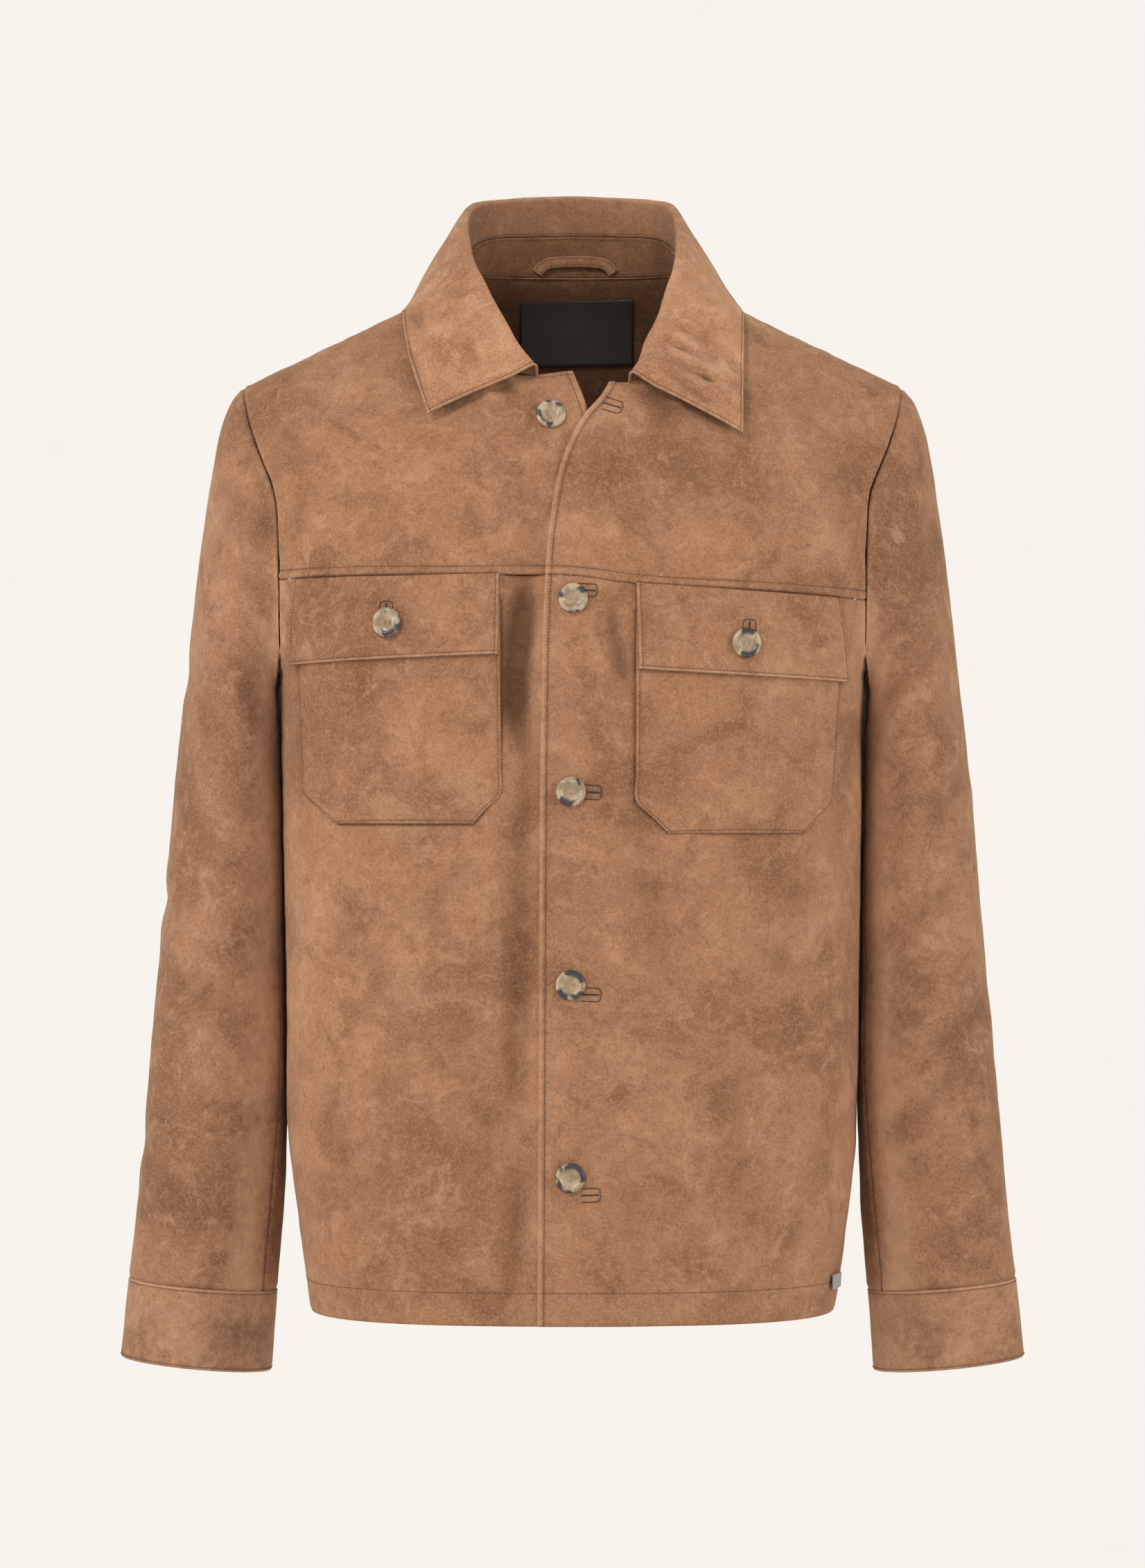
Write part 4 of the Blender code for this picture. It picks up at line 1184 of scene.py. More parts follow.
def sewing(name, lines, thread, slot="suede", pitch=STITCH_PITCH, radius=STITCH_RADIUS):
    """Rows of stitches, each a short bent thread whose ends dip into the cloth."""
    verts, faces = [], []
    for points, normals in lines:
        length = np.linalg.norm(np.diff(points, axis=0), axis=1)
        length = np.concatenate([[0], np.cumsum(length)])
        count = int(length[-1] / pitch)
        if count < 1:
            continue

        def at(places, values):
            return np.stack([np.interp(places, length, values[:, k]) for k in range(3)], axis=1)
        centres = (np.arange(count) + 0.5) * length[-1] / count
        up = unit(at(centres, normals))
        along = unit(at(centres + 0.5, points) - at(centres - 0.5, points))
        side = unit(np.cross(up, along))
        for p, n, a, s in zip(at(centres, points), up, along, side):
            base = len(verts)
            for step, lift in STITCH_BEND:
                middle = p + a * step * STITCH_LENGTH * pitch / STITCH_PITCH + n * lift
                for cx, cy in STITCH_SIDES:
                    verts.append(tuple((middle + s * cx * radius + n * cy * radius) * MM))
            faces += grid_faces(len(STITCH_BEND), len(STITCH_SIDES), True, base=base)
    mesh = new_mesh(name, verts, faces, thread)
    mesh.shade_smooth()
    show(bpy.data.objects.new(name, mesh), slot)


def stitch(name, piece, rows, *look, **spacing):
    """Sew along rows of a piece: edge, distance from it and, where needed, start and end."""
    sewing("sewing_" + name, [piece.line(*row) for row in rows], *(look or (THREAD,)), **spacing)


def tube(verts, faces, path, radius, sides=6):
    """Add a round cord along a path of points in mm to a mesh being built."""
    path = np.array(path)
    along = unit(np.gradient(path, axis=0))
    helper = np.array([0.31, 0.2, 0.93])
    base = len(verts)
    for p, a in zip(path, along):
        s = unit(np.cross(a, helper))
        n = np.cross(s, a)
        for k in range(sides):
            turn = 2 * math.pi * k / sides
            verts.append(tuple((p + (s * math.cos(turn) + n * math.sin(turn)) * radius) * MM))
    faces += grid_faces(len(path), sides, True, base=base)
    faces.append([base + k for k in range(sides)][::-1])
    faces.append([base + (len(path) - 1) * sides + k for k in range(sides)])


# ---------------------------------------------------------------- materials

def new_material(name):
    mat = bpy.data.materials.new(name)
    mat.use_nodes = True
    return mat, mat.node_tree, mat.node_tree.nodes["Principled BSDF"]


def add_noise(tree, where, scale, detail=3.0, rough=0.55, distortion=0.0):
    node = tree.nodes.new("ShaderNodeTexNoise")
    tree.links.new(where, node.inputs["Vector"])
    node.inputs["Scale"].default_value = scale
    node.inputs["Detail"].default_value = detail
    node.inputs["Roughness"].default_value = rough
    node.inputs["Distortion"].default_value = distortion
    return node.outputs["Fac"]


def ramp(tree, value, low, high):
    node = tree.nodes.new("ShaderNodeMapRange")
    node.interpolation_type = "SMOOTHSTEP"
    tree.links.new(value, node.inputs["Value"])
    node.inputs["From Min"].default_value = low
    node.inputs["From Max"].default_value = high
    return node.outputs["Result"]


def math_node(tree, kind, a, b):
    node = tree.nodes.new("ShaderNodeMath")
    node.operation = kind
    for socket, value in zip(node.inputs, (a, b)):
        if isinstance(value, (int, float)):
            socket.default_value = value
        else:
            tree.links.new(value, socket)
    return node.outputs[0]


def mix(tree, amount, a, b, mode="MIX"):
    node = tree.nodes.new("ShaderNodeMix")
    node.data_type = "RGBA"
    node.blend_type = mode
    node.clamp_result = True
    for key, value in (("Factor", amount), ("A", a), ("B", b)):
        socket = next(s for s in node.inputs if s.name == key and s.enabled)
        if isinstance(value, (tuple, float, int)):
            socket.default_value = value
        else:
            tree.links.new(value, socket)
    return next(s for s in node.outputs if s.enabled)


def scaled(tree, value, factor):
    return math_node(tree, "MULTIPLY", value, factor)


def add_bump(tree, shader, height, strength, distance):
    bump = tree.nodes.new("ShaderNodeBump")
    bump.inputs["Strength"].default_value = strength
    bump.inputs["Distance"].default_value = distance
    tree.links.new(height, bump.inputs["Height"])
    tree.links.new(bump.outputs["Normal"], shader.inputs["Normal"])


def rgb(red, green, blue):
    """A colour as seen on screen, 0 to 255, as the shader's linear value."""
    out = []
    for v in (red, green, blue):
        v = v / 255.0
        out.append(v / 12.92 if v <= 0.04045 else ((v + 0.055) / 1.055) ** 2.4)
    return (out[0], out[1], out[2], 1.0)


def suede(name, base, light, dark, worn_and_lit_colour, nap=1.0, gain=1.0):
    """Napped suede: cloudy patches, brushed streaks, fine nap and paler worn edges.

    The cloth's wear_and_painted_light attribute makes it paler above 0 (real wear on edges, and
    painted highlights), and carries painted shade below 0.
    """
    mat, tree, shader = new_material(name)
    place = tree.nodes.new("ShaderNodeTexCoord").outputs["Object"]
    clouds = add_noise(tree, place, 8.0, 2.0, 0.5, 0.3)
    patches = add_noise(tree, place, 22.0, 3.0, 0.6, 0.6)
    streaks = add_noise(tree, place, 50.0, 4.0, 0.65, 1.4)
    mottle = add_noise(tree, place, 150.0, 3.0, 0.6)
    fibres = add_noise(tree, place, 620.0, 2.0, 0.65)
    grain = add_noise(tree, place, 1500.0, 2.0, 0.6)
    layers = (
        # noise, low, high, strength, colour laid on
        (clouds, 0.52, 0.34, 0.52, dark),
        (clouds, 0.56, 0.74, 0.30, light),
        (patches, 0.52, 0.32, 0.60, dark),
        (patches, 0.54, 0.72, 0.46, light),
        (streaks, 0.48, 0.30, 0.36, dark),
        (streaks, 0.53, 0.68, 0.40, light),
        (mottle, 0.46, 0.26, 0.26, dark),
        (mottle, 0.54, 0.74, 0.24, light),
        (fibres, 0.50, 0.30, 0.36, dark),
        (fibres, 0.46, 0.68, 0.34, light),
    )
    colour = base
    for field, low, high, strength, tint in layers:
        colour = mix(tree, scaled(tree, ramp(tree, field, low, high), strength), colour, tint)
    wear_and_painted_light = tree.nodes.new("ShaderNodeAttribute")
    wear_and_painted_light.attribute_name = "wear_and_painted_light"
    uneven = scaled(tree, math_node(tree, "SUBTRACT", mottle, 0.5), 0.6)
    # above 0 the colour goes paler: real wear on edges, and painted highlight on crests and lit sides
    worn = math_node(tree, "ADD", wear_and_painted_light.outputs["Fac"], uneven)
    colour = mix(tree, scaled(tree, ramp(tree, worn, 0.05, 0.85), 0.75), colour, worn_and_lit_colour)
    # below 0 painted shade: the colour goes towards a deep shade of the dark tone
    shaded = scaled(tree, wear_and_painted_light.outputs["Fac"], -1.0)
    deep = tuple(v * 0.45 for v in dark[:3]) + (1.0,)
    colour = mix(tree, scaled(tree, ramp(tree, shaded, 0.0, 1.0), 0.9), colour, deep)
    tree.links.new(colour, shader.inputs["Base Color"])
    shader.inputs["Roughness"].default_value = 0.92
    shader.inputs["Specular IOR Level"].default_value = 0.18
    shader.inputs["Sheen Weight"].default_value = 0.22 * gain
    shader.inputs["Sheen Roughness"].default_value = 0.45
    shader.inputs["Sheen Tint"].default_value = (0.85, 0.62, 0.45, 1.0)
    height = math_node(tree, "ADD", scaled(tree, fibres, 0.6), scaled(tree, grain, 0.4))
    height = math_node(tree, "ADD", height, scaled(tree, mottle, 1.6))
    add_bump(tree, shader, height, 0.55 * nap, 0.0011)
    return mat


def thread_material(name, colour, other):
    mat, tree, shader = new_material(name)
    place = tree.nodes.new("ShaderNodeTexCoord").outputs["Object"]
    twist = add_noise(tree, place, 1600.0, 2.0)
    colour = mix(tree, ramp(tree, twist, 0.35, 0.65), colour, other)
    tree.links.new(colour, shader.inputs["Base Color"])
    shader.inputs["Roughness"].default_value = 0.75
    shader.inputs["Sheen Weight"].default_value = 0.2
    add_bump(tree, shader, twist, 0.4, 0.0003)
    return mat


def horn_material(name, shift):
    """Horn-look resin: beige, with blurred blue-grey patches and faint turned rings."""
    mat, tree, shader = new_material(name)
    coord = tree.nodes.new("ShaderNodeTexCoord").outputs["Object"]
    moved = tree.nodes.new("ShaderNodeMapping")
    moved.inputs["Location"].default_value = shift
    moved.inputs["Scale"].default_value = (1.0, 1.0, 0.2)
    tree.links.new(coord, moved.inputs["Vector"])
    patch = add_noise(tree, moved.outputs["Vector"], 95.0, 1.0, 0.5, 0.6)
    cloud = add_noise(tree, moved.outputs["Vector"], 170.0, 2.0, 0.5, 0.5)
    colour = mix(tree, ramp(tree, cloud, 0.35, 0.65), rgb(146, 125, 96), rgb(186, 166, 136))
    radius = tree.nodes.new("ShaderNodeVectorMath")
    radius.operation = "LENGTH"
    tree.links.new(coord, radius.inputs[0])
    rim = ramp(tree, radius.outputs["Value"], 0.0048, 0.0082)
    blue = math_node(tree, "MULTIPLY", ramp(tree, patch, 0.47, 0.57), rim)
    colour = mix(tree, blue, colour, rgb(58, 54, 60))
    # painted shade: the dished middle of the button is darkened towards a deeper beige
    hollow_shade = ramp(tree, radius.outputs["Value"], 0.0062, 0.0040)
    colour = mix(tree, scaled(tree, hollow_shade, 0.35), colour, rgb(150, 126, 96))
    tree.links.new(colour, shader.inputs["Base Color"])
    shader.inputs["Roughness"].default_value = 0.34
    shader.inputs["Coat Weight"].default_value = 0.15
    shader.inputs["Coat Roughness"].default_value = 0.15
    rings = tree.nodes.new("ShaderNodeTexWave")
    rings.wave_type = "RINGS"
    rings.rings_direction = "Z"
    rings.inputs["Scale"].default_value = 160.0
    rings.inputs["Distortion"].default_value = 0.4
    tree.links.new(coord, rings.inputs["Vector"])
    add_bump(tree, shader, rings.outputs["Fac"], 0.12, 0.0003)
    return mat


def woven_material(name, colour, other, scale, roughness, sheen):
    """A fine satin or tape weave."""
    mat, tree, shader = new_material(name)
    place = tree.nodes.new("ShaderNodeTexCoord").outputs["Object"]
    weave = tree.nodes.new("ShaderNodeTexWave")
    weave.bands_direction = "Z"
    weave.inputs["Scale"].default_value = scale
    weave.inputs["Distortion"].default_value = 1.5
    weave.inputs["Detail"].default_value = 2.0
    tree.links.new(place, weave.inputs["Vector"])
    cross = add_noise(tree, place, scale * 3.2, 2.0)
    amount = math_node(tree, "MULTIPLY", weave.outputs["Fac"], ramp(tree, cross, 0.3, 0.7))
    tree.links.new(mix(tree, amount, colour, other), shader.inputs["Base Color"])
    shader.inputs["Roughness"].default_value = roughness
    shader.inputs["Sheen Weight"].default_value = sheen
    add_bump(tree, shader, weave.outputs["Fac"], 0.35, 0.0003)
    return mat


OUTSIDE = suede("suede_outside", rgb(163, 118, 87), rgb(193, 149, 116), rgb(120, 81, 56),
                rgb(204, 160, 126))
SLEEVE_SKIN = suede("suede_sleeve", rgb(161, 117, 87), rgb(190, 146, 115), rgb(114, 77, 54),
                    rgb(204, 161, 128))
COLLAR_SKIN = suede("suede_collar", rgb(180, 132, 99), rgb(212, 166, 131), rgb(136, 93, 66),
                    rgb(222, 178, 142), nap=1.1)
# painted shade: the inside skin is a darker copy of the outside suede, for the shade inside the
# garment
INSIDE = suede("suede_inside_shaded", rgb(118, 82, 58), rgb(140, 100, 74), rgb(92, 62, 44),
               rgb(150, 110, 82), nap=1.3, gain=0.4)
CUT_EDGE = suede("suede_cut_edge", rgb(160, 116, 86), rgb(182, 138, 106), rgb(122, 84, 60),
                 rgb(182, 140, 108), nap=0.8)
THREAD = thread_material("thread_brown", rgb(112, 74, 48), rgb(86, 55, 36))
DARK_THREAD = thread_material("thread_dark", rgb(52, 34, 24), rgb(34, 22, 16))
PALE_THREAD = thread_material("thread_pale", rgb(196, 160, 112), rgb(160, 122, 80))
SATIN = woven_material("satin_black", rgb(40, 31, 27), rgb(58, 46, 41), 900.0, 0.42, 0.1)
TAPE = woven_material("tape_grey", rgb(150, 150, 152), rgb(190, 190, 190), 1100.0, 0.5, 0.2)
SKINS = (OUTSIDE, INSIDE, CUT_EDGE)
SLEEVE_SKINS = (SLEEVE_SKIN, INSIDE, CUT_EDGE)
# painted shade: a darker copy of the suede for the inside of the stand and the collar's fall
STAND_INSIDE = suede("suede_stand_inside_shaded", rgb(132, 93, 66), rgb(160, 118, 88),
                     rgb(96, 64, 44), rgb(160, 118, 88), nap=1.3, gain=0.5)
COLLAR_SKINS = (COLLAR_SKIN, STAND_INSIDE, CUT_EDGE)
STAND_SKINS = (OUTSIDE, STAND_INSIDE, CUT_EDGE)



# ---------------------------------------------------------------- listed creases

# soft troughs on the panels, where they are seen from the front
PANEL_CREASES = {
    # x0, z0, x1, z1, width, depth
    "front_yoke_left": (
        (-52.0, -54.0, -36.0, -70.0, 4.5, 2.2),
        (-70.0, -62.0, -52.0, -96.0, 7.0, 1.6),
        (-190.0, -118.0, -120.0, -150.0, 15.0, 2.2),
        (-206.0, -84.0, -160.0, -104.0, 9.0, 1.8),
        (-38.0, -108.0, -22.0, -180.0, 9.0, 2.2),
        (-100.0, -96.0, -66.0, -150.0, 14.0, 1.6),
    ),
    "front_yoke_right": (
        (50.0, -60.0, 62.0, -84.0, 7.5, 2.6),
        (60.0, -84.0, 112.0, -150.0, 12.0, 2.2),
        (150.0, -64.0, 190.0, -122.0, 12.0, 2.2),
        (206.0, -92.0, 176.0, -160.0, 9.0, 2.4),
        (22.0, -66.0, 13.0, -110.0, 6.0, 1.8),
        (36.0, -130.0, 60.0, -180.0, 12.0, 1.6),
    ),
    "front_lower_left": (
        (-36.0, -186.0, -34.0, -300.0, 11.0, 8.0),
        (-30.0, -290.0, -31.0, -420.0, 10.0, 2.6),
        (-29.0, -400.0, -33.0, -560.0, 11.0, 3.4),
        (-30.0, -560.0, -36.0, -676.0, 10.0, 2.8),
        (-60.0, -372.0, -104.0, -430.0, 13.0, 2.4),
        (-160.0, -380.0, -120.0, -480.0, 14.0, 2.4),
        (-76.0, -470.0, -58.0, -610.0, 17.0, 2.6),
        (-172.0, -500.0, -140.0, -640.0, 15.0, 2.6),
        (-110.0, -640.0, -62.0, -628.0, 9.0, 1.8),
        (-186.0, -290.0, -178.0, -390.0, 8.0, 2.4),
        (-120.0, -520.0, -100.0, -570.0, 12.0, 1.6),
        (-52.0, -446.0, -88.0, -500.0, 9.0, 1.5),
        (-150.0, -600.0, -100.0, -588.0, 8.0, 1.2),
    ),
    "front_lower_right": (
        (29.0, -204.0, 33.0, -262.0, 7.5, 4.2),
        (-15.0, -262.0, 14.0, -265.0, 4.5, 1.3),
        (-16.0, -434.0, 22.0, -438.0, 5.0, 1.4),
        (-12.0, -562.0, 18.0, -558.0, 5.0, 1.1),
        (40.0, -330.0, 72.0, -470.0, 15.0, 2.6),
        (168.0, -380.0, 122.0, -470.0, 14.0, 2.4),
        (90.0, -500.0, 134.0, -636.0, 16.0, 2.8),
        (24.0, -560.0, 48.0, -664.0, 12.0, 2.4),
        (184.0, -540.0, 152.0, -650.0, 11.0, 2.6),
        (190.0, -280.0, 182.0, -380.0, 8.0, 2.4),
        (60.0, -610.0, 96.0, -660.0, 10.0, 1.6),
        (28.0, -390.0, 92.0, -404.0, 7.0, 1.3),
        (100.0, -410.0, 160.0, -470.0, 9.0, 1.4),
        (30.0, -476.0, 74.0, -520.0, 8.0, 1.4),
    ),
    "back": (
        (-150.0, -90.0, -60.0, -140.0, 15.0, 2.6),
        (150.0, -92.0, 70.0, -150.0, 15.0, 2.4),
        (-175.0, -200.0, -120.0, -270.0, 14.0, 2.6),
        (178.0, -190.0, 130.0, -280.0, 14.0, 2.6),
        (-40.0, -300.0, -55.0, -520.0, 20.0, 3.0),
        (50.0, -330.0, 66.0, -600.0, 20.0, 2.8),
        (-120.0, -430.0, -100.0, -640.0, 18.0, 2.6),
        (130.0, -400.0, 118.0, -560.0, 17.0, 2.4),
    ),
}

# troughs round the sleeves: turn in degrees from the outer side, 90 the front
SLEEVE_CREASES = {
    # turn0, z0, turn1, z1, width, depth
    "left": (
        (20.0, -112.0, 104.0, -160.0, 9.0, 2.8),
        (56.0, -176.0, 132.0, -216.0, 8.0, 2.4),
        (0.0, -250.0, 92.0, -296.0, 11.0, 2.6),
        (40.0, -346.0, 122.0, -392.0, 10.0, 3.2),
        (-10.0, -400.0, 72.0, -432.0, 9.0, 2.4),
        (30.0, -452.0, 120.0, -502.0, 11.0, 3.0),
        (60.0, -536.0, 130.0, -560.0, 8.0, 2.2),
        (0.0, -572.0, 82.0, -612.0, 10.0, 2.6),
        (30.0, -630.0, 112.0, -650.0, 7.0, 1.8),
        (-60.0, -200.0, -100.0, -260.0, 11.0, 2.6),
        (-40.0, -380.0, -110.0, -425.0, 10.0, 2.8),
        (-50.0, -500.0, -112.0, -540.0, 10.0, 2.4),
    ),
    "right": (
        (80.0, -90.0, 134.0, -168.0, 8.0, 4.2),
        (20.0, -146.0, 86.0, -186.0, 10.0, 2.4),
        (50.0, -232.0, 126.0, -270.0, 9.0, 2.6),
        (8.0, -314.0, 94.0, -358.0, 10.0, 2.8),
        (46.0, -394.0, 128.0, -432.0, 9.0, 3.0),
        (10.0, -464.0, 94.0, -518.0, 10.0, 3.4),
        (52.0, -518.0, 130.0, -568.0, 9.0, 3.4),
        (16.0, -562.0, 86.0, -606.0, 8.0, 2.6),
        (40.0, -616.0, 118.0, -648.0, 7.0, 2.0),
        (-50.0, -190.0, -108.0, -240.0, 11.0, 2.6),
        (-36.0, -360.0, -112.0, -410.0, 10.0, 2.8),
        (-44.0, -486.0, -108.0, -536.0, 10.0, 2.4),
    ),
}

# raised folds on the collar's leaves, where they are seen from the front
COLLAR_CREASES = (
    # x0, z0, x1, z1, width, height
    (-68.0, -4.0, -44.0, -13.0, 2.8, 2.8),
    (-74.0, -14.0, -52.0, -48.0, 5.0, 1.6),
    (-98.0, 10.0, -78.0, -44.0, 8.0, 1.6),
    (-108.0, -14.0, -92.0, -66.0, 6.0, 1.3),
    (-60.0, 46.0, -94.0, 12.0, 8.0, 1.5),
    (44.0, -12.0, 90.0, -38.0, 3.4, 4.4),
    (52.0, 0.0, 86.0, -19.0, 2.8, 3.4),
    (48.0, -26.0, 110.0, -56.0, 3.4, 4.2),
    (58.0, -42.0, 102.0, -66.0, 4.2, 2.2),
    (62.0, 24.0, 92.0, -20.0, 6.0, 2.0),
    (96.0, 8.0, 105.0, -72.0, 6.5, 2.0),
    (60.0, 64.0, 72.0, 34.0, 2.6, 3.0),
    (66.0, 60.0, 90.0, 20.0, 3.6, 2.4),
)


# painted shade in the deep folds where the collar meets the fronts: line, strength, reach in mm
COLLAR_SHADES = {
    "left": (((-50.0, -50.0), (-40.0, -60.0)), 0.45, 6.0),
    "right": (((56.0, -54.0), (70.0, -72.0)), 0.45, 9.0),
}
# shade beside an outline: strength, reach in mm
POCKET_SHADE = (0.75, 1.5)
FLAP_SHADE = (0.38, 5.0)

FLAP_CREASES = (
    # x0, z0, x1, z1, width, depth
    (-150.0, -196.0, -146.0, -232.0, 4.0, 0.8),
    (-84.0, -198.0, -92.0, -230.0, 5.0, 0.9),
    (-110.0, -236.0, -70.0, -234.0, 3.0, 0.5),
    (74.0, -204.0, 82.0, -240.0, 5.0, 0.9),
    (140.0, -210.0, 150.0, -246.0, 4.0, 0.8),
    (90.0, -246.0, 130.0, -250.0, 3.0, 0.5),
)

# ---------------------------------------------------------------- the pieces

def fronts():
    """The two yokes and the two lower fronts, those on the right overlapping."""
    made = {}
    rows = (
        # word, side, neck, front edge, yoke seam's column, overlapping
        ("left", -1, UNDERLAP_NECK, UNDERLAP_EDGE, 1, False),
        ("right", 1, OVERLAP_NECK, OVERLAP_EDGE, 2, True),
    )
    for word, side, neck, edge, column, lifted in rows:
        grid = yoke_grid(side, neck, edge, column, lifted, 14, 14, 18)
        made["front_yoke_" + word] = Cloth(refine(grid, 7, 4))
    for word, side, _, edge, column, lifted in rows:
        grid = lower_grid(side, edge, column, lifted, 28)
        made["front_lower_" + word] = Cloth(refine(grid, 12, 5))
    for seed, (name, piece) in enumerate(made.items()):
        word = name.rpartition("_")[2]
        piece.crease(PANEL_CREASES[name])
        piece.soften(0.9, 0.35, seed * 3 + 1)
        if "yoke" in name:
            contact_shade(piece, [COLLAR_SHADES[word]])
            piece.finish_edges({"bottom": "lap", "first": "lip", "last": "rim", "top": "seam"})
        else:
            pocket, flap = POCKETS[word]
            # painted rim light: the lower fronts are paler towards their side edges
            piece.wear_and_painted_light += hump(piece.far["last"], 0.40, 0.0, 16.0)
            contact_shade(piece, [(pocket_outline(pocket), *POCKET_SHADE),
                                  (flap_outline(flap), *FLAP_SHADE)])
            piece.finish_edges({"bottom": "hem", "first": "lip", "last": "rim"})
        shell(name, piece, LEATHER, SKINS)
    yoke_rows = [("bottom", LAP_ROW), ("first", LIP_ROW, 0.0, 0.97)]
    lower_rows = [("bottom", HEM_ROW), ("first", LIP_ROW)]
    inside_neck = [("top", NECK_ROW + 0.2, 0.0, 0.16)]
    stitch("front_yoke_left", made["front_yoke_left"], yoke_rows + inside_neck)
    stitch("front_yoke_right", made["front_yoke_right"], yoke_rows)
    stitch("front_lower_left", made["front_lower_left"], lower_rows)
    stitch("front_lower_right", made["front_lower_right"], lower_rows)
    return made


def back_piece():
    piece = Cloth(refine(back_grid(12), 7, 7))
    piece.crease(PANEL_CREASES["back"])
    piece.soften(1.0, 0.35, 31)
    piece.finish_edges({"bottom": "hem", "first": "seam", "last": "seam", "top": "seam"})
    shell("back", piece, LEATHER, SKINS)
    stitch("back", piece, [("bottom", HEM_ROW), ("top", NECK_ROW, 0.0, 0.30),
                           ("top", NECK_ROW, 0.70, 1.0)])
    return piece


def sleeves():
    first, last = SEAM_BACK_TURN - 360, SEAM_FRONT_TURN
    upper = np.linspace(first + SLEEVE_SEAM_TURN, last - SLEEVE_SEAM_TURN, 61)
    under = np.linspace(last + SLEEVE_SEAM_TURN, SEAM_BACK_TURN - SLEEVE_SEAM_TURN, 22)
    for side, word in ((-1, "left"), (1, "right")):
        centre = sleeve_centre(side)
        for piece, turns in (("upper", upper), ("under", under)):
            grid = sleeve_rows(SLEEVE_RINGS, turns, True)
            grid = grid if side > 0 else mirrored(grid)
            item = Cloth(refine(grid, 12, 2), centre=centre)
            rows, cols = item.grid.shape[:2]
            span = np.interp(np.arange(cols), np.arange(len(turns)) * 2, turns)
            around = np.repeat(span[None, :], rows, axis=0)
            item.crease(SLEEVE_CREASES[word], around)
            item.soften(0.8, 0.35, 41 + 5 * side)
            # painted light: a paler band on the front-inner side, where the body shades the sleeve,
            # and painted rim light along its outer side
            item.wear_and_painted_light += hump(around, 0.62, 128.0, 20.0)
            item.wear_and_painted_light += hump(around, 0.20, 0.0, 26.0)
            item.finish_edges({"top": "tuck", "first": "seam", "last": "seam", "bottom": "seam"})
            shell(f"sleeve_{piece}_{word}", item, LEATHER, SLEEVE_SKINS)
        grid = sleeve_rows(CUFF_RINGS, np.arange(0, 360, 5), False)
        grid = grid if side > 0 else mirrored(grid)
        item = Cloth(refine(grid, 16, 2, True), closed=True, centre=centre)
        item.soften(0.3, 0.25, 61 + side)
        item.wear_and_painted_light += 0.30
        item.finish_edges({"top": "narrow", "bottom": "cuffend"})
        shell("cuff_" + word, item, LEATHER, SLEEVE_SKINS)
        stitch("cuff_" + word, item, [("top", CUFF_ROW), ("bottom", CUFF_END_ROW)])


def puff_front(grid):
    """Let the leaf swell forward beside its roll at both sides of the front."""
    rows, cols = grid.shape[:2]
    from_end = np.minimum(np.arange(cols), cols - 1 - np.arange(cols))
    along = np.array([ease((k - 1) / 3) * (1 - ease((k - 10) / 4)) for k in from_end])
    down = np.array([ease((r - 2) / 4) * (1 - ease((r - 7) / 6)) for r in range(rows)])
    puffed = grid.copy()
    puffed[..., 1] -= PUFF * down[:, None] * along[None, :]
    return puffed


def collar_bed(panels):
    """A search tree over the panels that the collar's leaf lies on."""
    verts, faces = [], []
    for panel in panels:
        rows, cols = panel.grid.shape[:2]
        faces += grid_faces(rows, cols, flip=panel.turn > 0, base=len(verts))
        verts += [tuple(p * MM) for p in panel.smooth.reshape(-1, 3)]
    return BVHTree.FromPolygons(verts, faces)


def collar_pieces(panels):
    grid = collar_grid(8)
    leaf_clearance = COLLAR_LEATHER + LEAF_CLEARANCE + LEAF_LIFT
    leaf = stand_off(grid[LEAF_FIRST_ROW:], collar_bed(panels), leaf_clearance)
    grid = puff_front(np.concatenate([grid[:LEAF_FIRST_ROW], leaf]))
    fine = Cloth(refine(grid, 7, 8))
    rows, cols = fine.grid.shape[:2]
    percent_down = np.repeat(np.linspace(0, 100, rows)[:, None], cols, axis=1)
    on_leaf = np.clip((percent_down - 42.0) / 12.0, 0, 1)
    height = fold_height(fine.grid[..., 0], fine.grid[..., 2], COLLAR_CREASES) * on_leaf
    fine.raise_by(height * (fine.grid[..., 1] < 40.0))
    # painted light: fold crests are painted paler as a highlight, troughs darker as shade
    fine.wear_and_painted_light += np.clip(height - 0.6, 0, 2) * 0.20 + np.clip(height, -2, 0) * 0.40
    # painted shade inside the collar's standing part and roll
    fine.wear_and_painted_light -= STAND_SHADE * np.clip((30.0 - percent_down) / 12.0, 0, 1)
    fine.soften(0.5, 0.35, 71)
    fine.finish_edges({"bottom": "narrow", "first": "narrow", "last": "narrow"})
    shell("collar", fine, COLLAR_LEATHER, COLLAR_SKINS, even=False)
    stand = Cloth(refine(stand_grid(3), 8, 5))
    stand.soften(0.3, 0.25, 73)
    shell("collar_stand", stand, LEATHER, STAND_SKINS)
    rows = [fine.line("bottom", NARROW_ROW), fine.line("first", NARROW_ROW, 0.18),
            fine.line("last", NARROW_ROW, 0.18), fine.line("top", 2.0, 0.27, 0.73),
            inner_line(stand, "bottom", 2.0, LEATHER), inner_line(stand, "top", 2.2, LEATHER)]
    sewing("sewing_collar", rows, THREAD)


def inner_line(item, edge, distance, thickness):
    """A row of stitches on the inner side of a wall."""
    points, normals = item.line(edge, distance)
    return points - normals * thickness, -normals


POCKET_EDGE = 2.3        # outer face of a pocket above its panel where it is sewn down
POCKET_SWELL = 7.0       # and how far in it reaches its full height
FLAP_TOP = 2.8           # outer face of a flap above its panel where it comes out of the seam
FLAP_SWELL = 22.0
THREE_SIDES = ("bottom", "first", "last")


